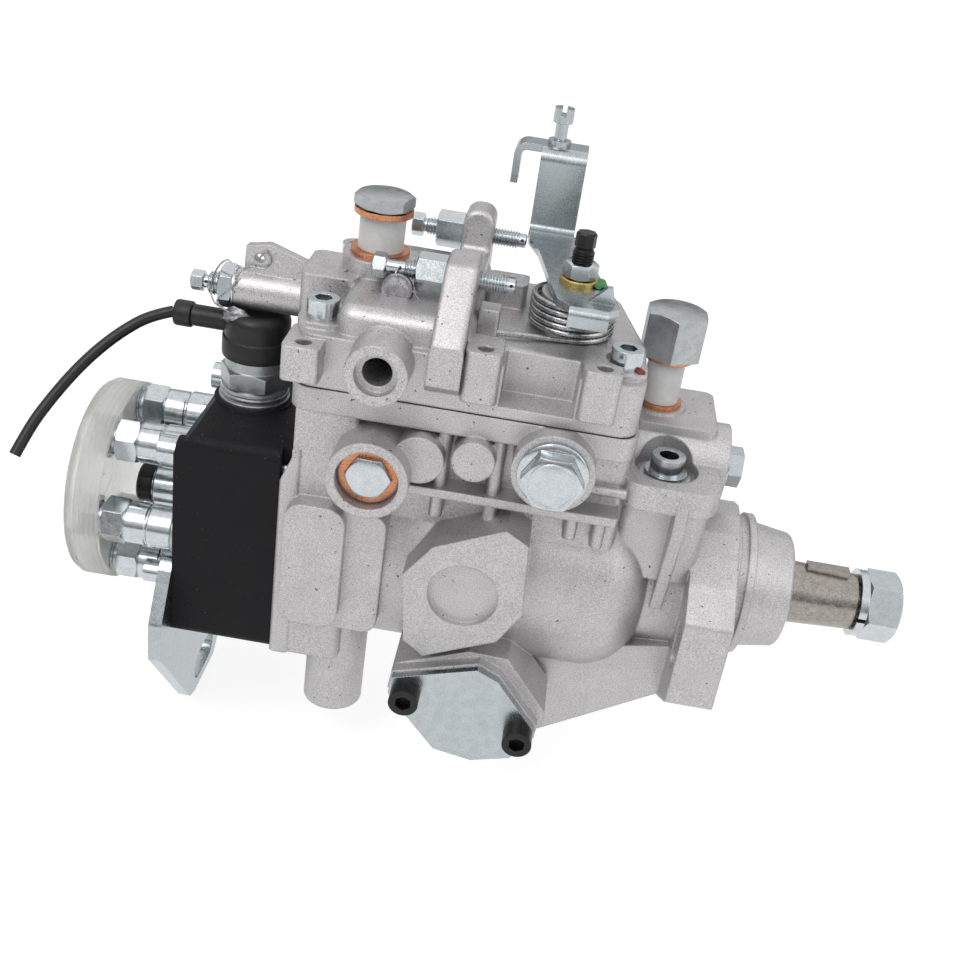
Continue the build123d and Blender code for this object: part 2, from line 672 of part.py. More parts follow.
with BuildPart() as vanes:
    for angle in (45, 135, 225, 315):
        with BuildSketch(spoke(pump_x - vane_ring_t + run_fit, angle)) as vane_face:
            with Locations((rotor_d / 2 - 1.65, 0)):
                Rectangle(3.9, vane_t)
        extrude(vane_face.sketch, amount=vane_ring_t - 2 * run_fit)
vanes.part.label = "vanes"
export_step(vanes.part, "parts/vanes.step")

# ================================================================ gears

with BuildPart() as drive_gear:
    with BuildSketch(Plane.YZ.offset(gear_x)):
        Polygon(*gear_points(drive_teeth, gear_backlash, 0), align=None)
        Circle(shaft_r + seat_fit, mode=Mode.SUBTRACT)
    extrude(amount=gear_t)
    along_x(gear_x - 3, gear_x, 0, 0, 34)
    along_x(gear_x - 3, gear_x, 0, 0, shaft_d + 2 * seat_fit, mode=Mode.SUBTRACT)
drive_gear.part.label = "drive_gear"
export_step(drive_gear.part, "parts/drive_gear.step")

with BuildPart() as governor_holder:
    with BuildSketch(Plane((gear_x, 0, governor_z), x_dir=(0, 1, 0), z_dir=(1, 0, 0))):
        Polygon(*gear_points(governor_teeth, gear_backlash, 180 / governor_teeth), align=None)
    extrude(amount=gear_t)
    along_x(gear_x - 4, gear_x, 0, governor_z, holder_d)
    # four pillars between the flyweights
    for angle in (0, 90, 180, 270):
        with BuildSketch(spoke(gear_x - 18.5, angle, 0, governor_z)) as pillar:
            with Locations((holder_d / 2 - 3.6, 0)):
                Rectangle(7, 4)
        extrude(pillar.sketch, amount=15.5)
    # hinge pins of the flyweights, held in the pillars
    for number in range(weight_count):
        angle = 45 + 360 / weight_count * number
        centre = around(pivot_r, angle, 0, governor_z)
        way = around(1, angle + 90)
        with BuildSketch(Plane((pivot_x, *centre), x_dir=(1, 0, 0), z_dir=(0, *way))) as pin:
            Circle(pivot_pin_d / 2)
        extrude(pin.sketch, amount=9.3, both=True)
    along_x(
        gear_x - 5, gear_x + gear_t + 1, 0, governor_z, governor_shaft_d + 2 * run_fit,
        mode=Mode.SUBTRACT,
    )
governor_holder.part.label = "governor_holder"
export_step(governor_holder.part, "parts/governor_holder.step")

for number in range(weight_count):
    angle = 45 + 360 / weight_count * number
    weight_plane = spoke(0, angle, 0, governor_z)
    with BuildPart() as flyweight:
        with BuildSketch(weight_plane.offset(pivot_x - 10.5)) as mass:
            with Locations((11.9, 0)):
                Rectangle(6.8, 8.4)
        extrude(mass.sketch, amount=9)
        with BuildSketch(weight_plane.offset(pivot_x - 1.5)) as shank:
            with Locations((11.5, 0)):
                Rectangle(4, 6)
        extrude(shank.sketch, amount=3)
        with BuildSketch(weight_plane.offset(toe_x)) as toe:
            with Locations((8.0, 0)):
                Rectangle(5.4, 3.4)
        extrude(toe.sketch, amount=1.4)
        centre = around(pivot_r, angle, 0, governor_z)
        way = around(1, angle + 90)
        with BuildSketch(Plane((pivot_x, *centre), x_dir=(1, 0, 0), z_dir=(0, *way))) as pin_hole:
            Circle(pivot_pin_d / 2 + run_fit)
        extrude(pin_hole.sketch, amount=6, both=True, mode=Mode.SUBTRACT)
    flyweight.part.label = f"flyweight_{number + 1}"
    export_step(flyweight.part, f"parts/flyweight_{number + 1}.step")

with BuildPart() as governor_sleeve:
    slider_bore = governor_shaft_d + 2 * run_fit
    ring_around_x(-101.5, toe_x - loose_fit, 0, governor_z, 12, slider_bore)
    ring_around_x(toe_x - loose_fit - 1.5, toe_x - loose_fit, 0, governor_z, slider_d, slider_bore)
    along_x(-103, -101.5, 0, governor_z, 12)
    along_x(-103 - slider_nub, -103, 0, governor_z, 3)
governor_sleeve.part.label = "governor_sleeve"
export_step(governor_sleeve.part, "parts/governor_sleeve.step")

with BuildPart() as governor_shaft:
    along_x(governor_shaft_end, -3.5, 0, governor_z, governor_shaft_d)
    ring_around_x(-10, -8.8, 0, governor_z, 18, governor_shaft_d + 2 * seat_fit)
    hexagon_x(-8.8, -3.8, 0, governor_z, 12)
    along_x(-8.8, -3.8, 0, governor_z, governor_shaft_d + 2 * seat_fit, mode=Mode.SUBTRACT)
    along_x(-9.5, -3.5, 0, governor_z, governor_shaft_d)
governor_shaft.part.label = "governor_shaft"
export_step(governor_shaft.part, "parts/governor_shaft.step")

with BuildPart() as governor_lever:
    side_profile(
        -4, 4,
        (-107.3, 80), (-107.3, 37), (-111, 31.5), (-117, 21), (-117, 11),
        (-114, 11), (-114, 21.5), (-107.2, 27), (-104.3, 36), (-104.3, 80),
    )
    along_y(-28.5, 28.5, lever_pivot_x, lever_pivot_z, 5)
    with Locations((-115.5, 0, 9.6)):
        Sphere(2)
    along_z(9.6, 12, -115.5, 0, 2.4)
    along_x(-108, -100, 0, 75, 3.2, mode=Mode.SUBTRACT)
governor_lever.part.label = "governor_lever"
export_step(governor_lever.part, "parts/governor_lever.step")

# ================================================================ cam, rollers and plunger
with BuildPart() as cross_disc:
    ring_around_x(-85.5, -77, 0, 0, 25, 5)
    half_slot = claw_w / 2 + loose_fit
    for middle in (-9.7, 9.7):
        block(-86, -76, -half_slot, half_slot, middle - 5, middle + 5, mode=Mode.SUBTRACT)
        block(-86, -76, middle - 5, middle + 5, -half_slot, half_slot, mode=Mode.SUBTRACT)
cross_disc.part.label = "cross_disc"
export_step(cross_disc.part, "parts/cross_disc.step")

with BuildPart() as cam_plate:
    along_x(cam_face - cam_t, cam_face, 0, 0, 54)
    for number in range(roller_count):
        angle = 360 / roller_count * number
        start = around(16, angle)
        way = around(1, angle)
        with BuildSketch(Plane((cam_face + cam_lift - 6, *start), x_dir=(1, 0, 0), z_dir=(0, *way))) as lobe:
            Circle(6)
        extrude(lobe.sketch, amount=10.5)
    block(cam_face - cam_t - 8, cam_face - cam_t, -30, 30, -30, 30, mode=Mode.SUBTRACT)
    for side in (-1, 1):
        block(cam_face - 1, -78, side * 7.75 - 2.75, side * 7.75 + 2.75, -claw_w / 2, claw_w / 2, 0.8)
cam_plate.part.label = "cam_plate"
export_step(cam_plate.part, "parts/cam_plate.step")

foot_x = cam_face - cam_t
with BuildPart() as plunger:
    turned(
        (foot_x, 0), (foot_x, 9), (foot_x - 3, 9), (foot_x - 3, plunger_d / 2),
        (plunger_end + 1, plunger_d / 2), (plunger_end, plunger_d / 2 - 1), (plunger_end, 0),
    )
    # distributor slot, spill port and bore
    block(-172, -164, 3.8, 6, -1.2, 1.2, mode=Mode.SUBTRACT)
    along_z(-6, 6, -116, 0, 2, mode=Mode.SUBTRACT)
    along_x(plunger_end, -114, 0, 0, 3, mode=Mode.SUBTRACT)
plunger.part.label = "plunger"
export_step(plunger.part, "parts/plunger.step")

with BuildPart() as control_sleeve:
    ring_around_x(sleeve_x, sleeve_x + sleeve_len, 0, 0, sleeve_d, plunger_d + 2 * run_fit)
    along_z(5.6, 10, -115.5, 0, 4.6, mode=Mode.SUBTRACT)
control_sleeve.part.label = "control_sleeve"
export_step(control_sleeve.part, "parts/control_sleeve.step")

with BuildPart() as roller_ring:
    ring_around_x(ring_x, ring_x + ring_t, 0, 0, bore_d - 2 * run_fit, 27)
    for number in range(roller_count):
        angle = 360 / roller_count * number
        start = around(16.5, angle)
        way = around(1, angle)
        with BuildSketch(Plane((ring_x + 3, *start), x_dir=(1, 0, 0), z_dir=(0, *way))) as pocket:
            Circle(roller_d / 2 + loose_fit)
            with Locations((-4, 0)):
                Rectangle(8, roller_d + 2 * loose_fit)
        extrude(pocket.sketch, amount=9.5, mode=Mode.SUBTRACT)
        start = around(13, angle)
        with BuildSketch(Plane((ring_x + 3, *start), x_dir=(1, 0, 0), z_dir=(0, *way))) as axle:
            Circle(1.5)
        extrude(axle.sketch, amount=15)
    # pin that the timing piston carries along
    along_z(timing_z, -26, timing_x, 0, 5.6)
    along_x(ring_x - 10, ring_x + ring_t + 10, 0, 0, 27, mode=Mode.SUBTRACT)
roller_ring.part.label = "roller_ring"
export_step(roller_ring.part, "parts/roller_ring.step")

with BuildPart() as rollers:
    for number in range(roller_count):
        angle = 360 / roller_count * number
        start = around(17, angle)
        way = around(1, angle)
        with BuildSketch(Plane((ring_x + 3, *start), x_dir=(1, 0, 0), z_dir=(0, *way))) as roller:
            Circle(roller_d / 2)
            Circle(1.5 + run_fit, mode=Mode.SUBTRACT)
        extrude(roller.sketch, amount=8.5)
rollers.part.label = "rollers"
export_step(rollers.part, "parts/rollers.step")

with BuildPart() as plunger_springs:
    for side in (-1, 1):
        coil((-131.2, side * 19, 0), (1, 0, 0), 4, 1.3, 3.2, 22.6)
    # spring plate on the plunger's foot
    block(-107.7, -104.8, -25, 25, -7, 7)
    along_x(-108, -104, 0, 0, plunger_d + 2 * loose_fit, mode=Mode.SUBTRACT)
plunger_springs.part.label = "plunger_springs"
export_step(plunger_springs.part, "parts/plunger_springs.step")

# ================================================================ distributor head
with BuildPart() as head:
    with BuildSketch(Plane.YZ.offset(head_face)):
        with BuildLine():
            Polyline(
                (-36, -36), (-36, 41), (36, 41), (36, -30), (24, -40), (-24, -40),
                close=True,
            )
        make_face()
        fillet(vertices(), 4)
    extrude(amount=head_t)
    side_profile(
        -32, 32,
        (head_joint - 1, solenoid_z), (head_joint - 1, head_lap_z), (head_joint, head_lap_z),
        (head_joint + head_lap, solenoid_z),
    )
    side_profile(
        -37, 37,
        (head_face - 1, solenoid_z + 1), (head_face - 1, solenoid_z - head_slope_z),
        (head_face, solenoid_z - head_slope_z), (head_face + head_slope_x, solenoid_z),
        (head_face + head_slope_x, solenoid_z + 1),
        mode=Mode.SUBTRACT,
    )
    for y, z in head_screw_yz:
        along_x(head_face, head_face + head_slope_x, y, z, 11)
    along_x(head_joint, head_joint + hub_len, 0, 0, bore_d - 2 * seat_fit)
    along_x(head_joint + hub_len, -125, 0, 0, barrel_d)
    along_z(solenoid_z - 5, solenoid_z + 0.5, solenoid_x, 0, 27)
    # guide pins of the plunger springs
    for side in (-1, 1):
        along_x(head_joint + hub_len - 1, -118, side * 19, 0, 5)
    along_x(plunger_end - 3, -125, 0, 0, plunger_d + 2 * run_fit, mode=Mode.SUBTRACT)
    along_x(head_face, head_face + 8, 0, 0, 16 + 2 * seat_fit, mode=Mode.SUBTRACT)
    for angle in outlet_angles:
        y, z = around(outlet_r, angle)
        along_x(head_face, head_face + 9, y, z, 11, mode=Mode.SUBTRACT)
    along_z(solenoid_z - 12, 60, solenoid_x, 0, solenoid_d + 2 * seat_fit, mode=Mode.SUBTRACT)
    for y, z in head_screw_yz + bracket_screw_yz:
        along_x(head_face, head_joint + head_lap, y, z, 6.6, mode=Mode.SUBTRACT)
head.part.label = "distributor_head"
export_step(head.part, "parts/distributor_head.step")

holder_x = head_face - ring_seal_t
with BuildPart() as holders:
    for angle in outlet_angles:
        y, z = around(outlet_r, angle)
        along_x(holder_x - 9, holder_x, y, z, 15.2)
        along_x(holder_x - 16.5, holder_x - 9, y, z, holder_body_d)
        hexagon_x(holder_x - 24.5, holder_x - 16.5, y, z, holder_af)
        along_x(holder_x - 32.5, holder_x - 24.5, y, z, outlet_thread_d)
        along_x(holder_x, head_face + 8, y, z, 11 - 2 * seat_fit)
        along_x(holder_x - 33, holder_x, y, z, 3, mode=Mode.SUBTRACT)
        along_x(holder_x - 16, head_face + 9, y, z, 8, mode=Mode.SUBTRACT)
holders.part.label = "delivery_valve_holders"
export_step(holders.part, "parts/delivery_valve_holders.step")

for number, angle in enumerate(outlet_angles):
    y, z = around(outlet_r, angle)
    with BuildPart() as valve:
        along_x(head_face - 1, head_face + 4, y, z, 7.4)
        along_x(head_face - 5, head_face + 4, y, z, 4.4)
    valve.part.label = f"delivery_valve_{number + 1}"
    export_step(valve.part, f"parts/delivery_valve_{number + 1}.step")

with BuildPart() as valve_springs:
    for angle in outlet_angles:
        y, z = around(outlet_r, angle)
        coil((head_face - 1.5, y, z), (-1, 0, 0), 3.1, 0.8, 3.4, 14.5)
valve_springs.part.label = "valve_springs"
export_step(valve_springs.part, "parts/valve_springs.step")

with BuildPart() as washers:
    for angle in outlet_angles:
        y, z = around(outlet_r, angle)
        ring_around_x(head_face - ring_seal_t, head_face, y, z, 16.4, 11.2)
    for low in (return_boss_z, return_boss_z + 13.3):
        ring_around_z(low, low + 1.8, return_x, return_y, 19, 12.2)
    for low, outer in ((inlet_z, 15.4), (inlet_z + 1.4 + inlet_sleeve_h, 16.6)):
        ring_around_z(low, low + 1.4, inlet_x, inlet_y, outer, 10.4)
washers.part.label = "sealing_washers"
export_step(washers.part, "parts/sealing_washers.step")

with BuildPart() as sleeves:
    ring_around_z(return_boss_z + 1.8, return_boss_z + 13.3, return_x, return_y, 14.8, 12.2)
    ring_around_z(inlet_z + 1.4, inlet_z + 1.4 + inlet_sleeve_h, inlet_x, inlet_y, 12.6, 10.4)
sleeves.part.label = "plastic_sleeves"
export_step(sleeves.part, "parts/plastic_sleeves.step")

with BuildPart() as return_bolt:
    hexagon_z(return_boss_z + 15.1, return_boss_z + 19.6, return_x, return_y, 17, 15)
    along_z(dome_z - 4, return_boss_z + 15.5, return_x, return_y, 12 - 2 * seat_fit)
    along_z(dome_z - 4, return_boss_z + 12, return_x, return_y, 6, mode=Mode.SUBTRACT)
return_bolt.part.label = "return_bolt"
export_step(return_bolt.part, "parts/return_bolt.step")

with BuildPart() as inlet_bolt:
    inlet_nut_z = inlet_z + 2.8 + inlet_sleeve_h
    hexagon_z(inlet_nut_z, inlet_nut_z + 15.5, inlet_x, inlet_y, 19, 30)
    along_z(inlet_z - 9.5, inlet_nut_z + 1, inlet_x, inlet_y, 10.2)
    along_z(inlet_z - 9.5, inlet_z - 0.5, inlet_x, inlet_y, 12 - 2 * seat_fit)
    along_z(inlet_z - 9.5, inlet_z + 9, inlet_x, inlet_y, 5, mode=Mode.SUBTRACT)
inlet_bolt.part.label = "inlet_bolt"
export_step(inlet_bolt.part, "parts/inlet_bolt.step")

# ================================================================ plugs
with BuildPart() as plugs:
    # flange-hexagon plug of the body
    along_y(-46.6, -45, -67.3, 54.3, 22)
    with BuildSketch(Plane.XZ.offset(46.6)) as plug_hex:
        with Locations((-67.3, 54.3)):
            RegularPolygon(8.5, 6, major_radius=False)
    extrude(plug_hex.sketch, amount=6)
    along_y(-45, -37, -67.3, 54.3, 18 - 2 * seat_fit)
    # recessed plug
    with BuildSketch(Plane.XZ.offset(45)) as cap_hex:
        with Locations((-123.3, 43.8)):
            RegularPolygon(6.5, 6, major_radius=False)
    extrude(cap_hex.sketch, amount=3.4)
    along_y(-45, -35, -123.3, 43.8, 14 - 2 * seat_fit)
    # central plug of the head
    turned(
        (head_face - 23, 0), (head_face - 23, head_plug_d / 2 - 1), (head_face - 22, head_plug_d / 2),
        (head_face - 17.5, head_plug_d / 2), (head_face - 17.5, head_plug_d / 2 - 0.6),
        (head_face - 16.9, head_plug_d / 2 - 0.6), (head_face - 16.9, head_plug_d / 2 + 0.4),
        (head_face - 1.5, head_plug_d / 2 + 0.4), (head_face - 1.5, head_plug_d / 2 + 2),
        (head_face, head_plug_d / 2 + 2), (head_face, 8), (head_face + 7, 8), (head_face + 7, 0),
    )
plugs.part.label = "plugs"
export_step(plugs.part, "parts/plugs.step")

# ================================================================ cap over the outlets
cap_r = cap_d / 2
with BuildPart() as cap:
    cap_rim = cap_x + cap_len
    turned((cap_x, 0), (cap_x, cap_r - 3), (cap_x + 3, cap_r), (cap_rim, cap_r), (cap_rim, 0))
    turned(
        (cap_x + cap_wall, 0), (cap_x + cap_wall, cap_r - 4.4), (cap_x + 3.6, cap_r - cap_wall),
        (cap_rim, cap_r - cap_wall), (cap_rim, 0),
        mode=Mode.SUBTRACT,
    )
    for angle in outlet_angles:
        y, z = around(outlet_r, angle)
        ring_around_x(cap_x + 1, cap_x + cap_len - 2, y, z, 15, outlet_thread_d + 2 * run_fit)
cap.part.label = "protective_cap"
export_step(cap.part, "parts/protective_cap.step")

# ================================================================ timing device
with BuildPart() as timing_piston:
    along_y(-26, 22, timing_x, timing_z, piston_d)
    along_z(timing_z - 1, timing_z + 12, timing_x, 0, 9.2, mode=Mode.SUBTRACT)
    along_y(10, 22, timing_x, timing_z, 15, mode=Mode.SUBTRACT)
timing_piston.part.label = "timing_piston"
export_step(timing_piston.part, "parts/timing_piston.step")

with BuildPart() as timing_spring:
    coil((timing_x, 11, timing_z), (0, 1, 0), 5.5, 1.6, 5.5, 36)
timing_spring.part.label = "timing_spring"
export_step(timing_spring.part, "parts/timing_spring.step")

with BuildPart() as timing_covers:
    for side in (-1, 1):
        side_profile(side * (timing_face + timing_cover_t), side * timing_face, *timing_outline(0.5))
        for x, z in timing_bolts_xz:
            hole_end = timing_face + timing_cover_t + 1
            along_y(side * (timing_face - 1), side * hole_end, x, z, timing_bolt_d + 0.4, mode=Mode.SUBTRACT)
timing_covers.part.label = "timing_covers"
export_step(timing_covers.part, "parts/timing_covers.step")

with BuildPart() as socket_screws:
    for side in (-1, 1):
        for x, z in timing_bolts_xz:
            seat = timing_face + timing_cover_t
            along_y(side * seat, side * (seat + 6), x, z, 10)
            along_y(side * (timing_face - 8), side * seat, x, z, timing_bolt_d)
            with BuildSketch(Plane((x, side * (seat + 3), z), z_dir=(0, side, 0))) as socket:
                RegularPolygon(2.5, 6, major_radius=False)
            extrude(socket.sketch, amount=4, mode=Mode.SUBTRACT)
    for y, z in head_screw_yz:
        along_x(head_face - 6, head_face, y, z, 10)
        along_x(head_face, head_joint + 12, y, z, 6)
    for y, z in bracket_screw_yz:
        along_x(head_face - bracket_t - 6, head_face - bracket_t, y, z, 8)
        along_x(head_face - bracket_t, head_joint + 12, y, z, 6)
socket_screws.part.label = "socket_screws"
export_step(socket_screws.part, "parts/socket_screws.step")

# ================================================================ speed lever, its shaft and spring
lever_top = plate_z + plate_t
tongue_low = tongue_z - plate_t
with BuildPart() as speed_lever:
    with BuildSketch(Plane.XY.offset(plate_z)) as flat:
        outline(
            (-88, 46), (-87.4, 38), (-83.3, 26), (-75, -18), (-71, -22), (-58.5, -22),
            (-55.5, -19), (-57, -10), (-60.8, 2), (-70.6, 46),
        )
    extrude(flat.sketch, amount=plate_t)
    # lip bent down in front
    folded(
        Plane.YZ.offset(-71), 12.5, ((0, 2.6), (3, 0.4)),
        (-25, lever_top), (-25, 94.5), (-25 + plate_t, 94.5), (-25 + plate_t, plate_z),
        (-20, plate_z), (-20, lever_top),
    )
    # fin for the spring's leg
    side_profile(
        -17, -17 + plate_t,
        (-65.2, plate_z), (-65.2, lever_top), (-60.2, 105.8), (-58.6, 105.8),
        (-55.8, 95.5), (-57.5, 94.5), (-58.5, plate_z),
    )
    # strap bent up from the plate, its tongue bent outwards and down at one end
    folded(
        Plane.YZ.offset(-88), 16, ((1, 4.5), (2, 2), (5, 4.5), (6, 2)),
        (44, plate_z), (strap_y, plate_z), (strap_y, tongue_low), (64, tongue_low),
        (64, tongue_z), (strap_y - plate_t, tongue_z), (strap_y - plate_t, lever_top), (44, lever_top),
    )
    folded(
        Plane((0, 64, 0), x_dir=(1, 0, 0), z_dir=(0, -1, 0)), 64 - strap_y - 2, ((1, 4.5), (4, 2)),
        (-97.5, 114), (-97.5, tongue_z), (-85, tongue_z), (-85, tongue_low), (-97.5 + plate_t, tongue_low),
        (-97.5 + plate_t, 114),
    )
    # link stud with its collar and slotted end
    along_z(tongue_z, tongue_z + 2, stud_x, stud_y, 8)
    along_z(tongue_z + 2, tongue_z + 9, stud_x, stud_y, 4.4)
    along_z(tongue_z + 8, tongue_z + 13, stud_x, stud_y, 7)
    for half_x, half_y in ((4, 0.8), (0.8, 4)):
        block(
            stud_x - half_x, stud_x + half_x, stud_y - half_y, stud_y + half_y,
            tongue_z + 10.6, tongue_z + 14, mode=Mode.SUBTRACT,
        )
    along_z(plate_z, lever_top, control_x, 0, 8 + 2 * seat_fit, mode=Mode.SUBTRACT)
speed_lever.part.label = "speed_lever"
export_step(speed_lever.part, "parts/speed_lever.step")

with BuildPart() as control_shaft:
    along_z(77, plate_z, control_x, 0, control_d)
    along_z(plate_z, lever_top, control_x, 0, 8)
    along_z(lever_top, 111.5, control_x, 0, 6)
    with BuildSketch(Plane((control_x, 0, 111.5))) as flats:
        Rectangle(5.2, 3.6)
    extrude(flats.sketch, amount=5.5)
    # eccentric that pulls the governor spring
    along_z(77, 80.4, control_x, 0, 16)
    along_z(70, 78, control_x - 6, 0, 3)
control_shaft.part.label = "control_shaft"
export_step(control_shaft.part, "parts/control_shaft.step")

with BuildPart() as lever_nut:
    ring_around_z(lever_top, lever_top + 1.8, control_x, 0, 12.5, 6 + 2 * seat_fit)
    hexagon_z(lever_top + 1.8, lever_top + 6.8, control_x, 0, 10)
    along_z(lever_top + 1.8, lever_top + 6.8, control_x, 0, 6 + 2 * seat_fit, mode=Mode.SUBTRACT)
lever_nut.part.label = "lever_nut"
export_step(lever_nut.part, "parts/lever_nut.step")

spring_wire = 2.0
spring_low = low_roof_z + spring_wire / 2 + 0.2
with BuildPart() as return_spring:
    coil((control_x, 0, spring_low), (0, 0, 1), 13.2, spring_wire, 2.4, 9.6)
return_spring.part.label = "return_spring"
export_step(return_spring.part, "parts/return_spring.step")

with BuildPart() as governor_spring:
    coil((-103, 0, 75), (1, 0, 0), 3.4, 1.0, 2.6, 25)
governor_spring.part.label = "governor_spring"
export_step(governor_spring.part, "parts/governor_spring.step")

# ================================================================ adjusting screws with lock nuts
with BuildPart() as adjusting_screws:
    for y, z, tip, end in ((idle_y, screw_z, -88, -128), (max_speed_y, max_speed_z, -88, -133)):
        along_x(stop_nut_x - 0.1, tip, y, z, 6)
        along_x(end + 4, stop_nut_x - 0.1, y, z, 3.8)
        hexagon_x(end, end + 4.6, y, z, 7)
        hexagon_x(stop_nut_x, post_x, y, z, 11)
    along_x(-190, -114.5, 0, full_load_z, 8)
    along_x(-194, -190, 0, full_load_z, 5)
    hexagon_x(-184, -179, 0, full_load_z, 13)
    along_y(idle_y - 4, idle_y + 4, -121.5, screw_z, 1.4, mode=Mode.SUBTRACT)
    along_y(max_speed_y - 4, max_speed_y + 4, -122.5, max_speed_z, 1.4, mode=Mode.SUBTRACT)
adjusting_screws.part.label = "adjusting_screws"
export_step(adjusting_screws.part, "parts/adjusting_screws.step")

# ================================================================ shut-off solenoid, boot and wire
with BuildPart() as solenoid:
    along_z(solenoid_z + 0.5, solenoid_z + 2, solenoid_x, 0, 24)
    along_z(solenoid_z + 2, solenoid_z + 5.5, solenoid_x, 0, 22.5)
    hexagon_z(solenoid_z + 5.5, solenoid_z + 12.5, solenoid_x, 0, 21)
    along_z(solenoid_z + 12.5, boot_low_z, solenoid_x, 0, 20.5)
    along_z(boot_low_z, solenoid_top, solenoid_x, 0, solenoid_d)
    along_z(solenoid_z - 8, solenoid_z + 1, solenoid_x, 0, solenoid_d)
    along_z(solenoid_z - 8, solenoid_z + 12, solenoid_x, 0, 8 + 2 * run_fit, mode=Mode.SUBTRACT)
solenoid.part.label = "shutoff_solenoid"
export_step(solenoid.part, "parts/shutoff_solenoid.step")

with BuildPart() as armature:
    along_z(solenoid_z - 6, solenoid_z + 10, solenoid_x, 0, 8)
    along_z(solenoid_z - 9, solenoid_z - 6, solenoid_x, 0, 5)
armature.part.label = "solenoid_armature"
export_step(armature.part, "parts/solenoid_armature.step")

with BuildPart() as boot:
    with BuildSketch(Plane.XZ.offset(0)) as boot_half:
        with BuildLine():
            Polyline((0, boot_low_z), (11, boot_low_z), (11, 69.7))
            ThreePointArc((11, 69.7), (9.8, 72.3), (7.5, 73.1))
            Polyline((7.5, 73.1), (0, 73.1), (0, boot_low_z))
        make_face()
    revolve(boot_half.sketch, axis=Axis.Z)
boot_part = Pos(solenoid_x, 0, 0) * boot.part
with BuildPart() as rubber_boot:
    add(boot_part)
    along_x(-199.4, solenoid_x, 0, 67.5, 7.3)
    boot_bore = solenoid_d + 2 * seat_fit
    along_z(boot_low_z - 1, solenoid_top + seat_fit, solenoid_x, 0, boot_bore, mode=Mode.SUBTRACT)
rubber_boot.part.label = "rubber_boot"
export_step(rubber_boot.part, "parts/rubber_boot.step")

wire_points = [Vector(*point) for point in wire_route]
wire_radii = []
for before, here, after in zip(wire_points, wire_points[1:], wire_points[2:]):
    turn = math.radians((here - before).get_angle(after - here))
    wire_radii.append(0.45 * min((here - before).length, (after - here).length) / math.tan(turn / 2))
print("wire radii, mm:", [round(radius, 1) for radius in wire_radii])
with BuildPart() as wire:
    with BuildLine() as wire_path:
        FilletPolyline(*wire_points, radius=wire_radii)
    with BuildSketch(Plane(wire_points[0], z_dir=wire_points[1] - wire_points[0])):
        Circle(wire_d / 2)
    sweep()
wire_length = sum(edge.length for edge in wire_path.line.edges())
wire_section_area = math.pi * wire_d * wire_d / 4
print("wire length, mm:", round(wire_length, 1))
print("wire volume / (section x length):", round(wire.part.volume / (wire_section_area * wire_length), 4))
wire.part.label = "solenoid_wire"
export_step(wire.part, "parts/solenoid_wire.step")

# ================================================================ regulating valve, rear bracket
with BuildPart() as regulating_valve:
    along_z(valve_z - 4, valve_z - 2.4, valve_x, valve_y, 17)
    along_z(valve_z - 2.4, valve_z - 1, valve_x, valve_y, 14)
    along_z(valve_z - 1, valve_z + 4.5, valve_x, valve_y, 11)
    along_z(29.5, valve_z - 3, valve_x, valve_y, 12 - 2 * seat_fit)
    along_z(valve_z - 8, valve_z + 5, valve_x, valve_y, 6.4, mode=Mode.SUBTRACT)
regulating_valve.part.label = "regulating_valve"
export_step(regulating_valve.part, "parts/regulating_valve.step")

bracket_x = head_face - bracket_t
with BuildPart() as rear_bracket:
    with BuildSketch(Plane.YZ.offset(bracket_x)):
        with BuildLine():
            Polyline(
                (-33, -8), (-36.5, -11), (-46.5, -28), (-46.5, -42), (-11, -86), (-5, -88),
                (20, -88), (29, -79), (29, -42), (20, -37.5), (10, -35), (-19, -34), (-23, -29),
                (-23, -17), (-27, -10),
                close=True,
            )
        make_face()
        fillet(vertices().group_by(Axis.Z)[0], 4)
    extrude(amount=bracket_t)
    with BuildSketch(Plane.YZ.offset(bracket_x)):
        with Locations((6, -78)):
            SlotOverall(bracket_slot_len, bracket_slot_w)
    extrude(amount=bracket_t, mode=Mode.SUBTRACT)
    for y, z in bracket_screw_yz:
        along_x(bracket_x, head_face, y, z, 6.6, mode=Mode.SUBTRACT)
rear_bracket.part.label = "rear_bracket"
export_step(rear_bracket.part, "parts/rear_bracket.step")
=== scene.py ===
import math

import bmesh
import bpy
from mathutils import Matrix, Vector


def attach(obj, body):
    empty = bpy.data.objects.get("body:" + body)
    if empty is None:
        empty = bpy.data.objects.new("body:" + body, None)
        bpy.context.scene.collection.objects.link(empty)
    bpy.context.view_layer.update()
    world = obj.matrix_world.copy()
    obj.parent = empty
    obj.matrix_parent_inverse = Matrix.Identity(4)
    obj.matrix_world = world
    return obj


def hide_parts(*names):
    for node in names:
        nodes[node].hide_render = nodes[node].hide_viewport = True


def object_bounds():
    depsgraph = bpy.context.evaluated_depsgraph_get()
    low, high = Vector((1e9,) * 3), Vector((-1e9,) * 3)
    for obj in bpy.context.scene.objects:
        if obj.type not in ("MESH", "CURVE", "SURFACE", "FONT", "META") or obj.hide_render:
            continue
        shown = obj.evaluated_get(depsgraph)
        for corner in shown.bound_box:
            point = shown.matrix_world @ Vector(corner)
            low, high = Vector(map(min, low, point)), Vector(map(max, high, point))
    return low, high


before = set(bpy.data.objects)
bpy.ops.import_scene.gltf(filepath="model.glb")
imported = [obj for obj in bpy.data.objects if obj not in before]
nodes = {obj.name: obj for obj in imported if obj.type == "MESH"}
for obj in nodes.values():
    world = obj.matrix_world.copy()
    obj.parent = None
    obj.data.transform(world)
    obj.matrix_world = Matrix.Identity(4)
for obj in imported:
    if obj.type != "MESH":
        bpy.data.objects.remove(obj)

MM = 0.001
cad_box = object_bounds()

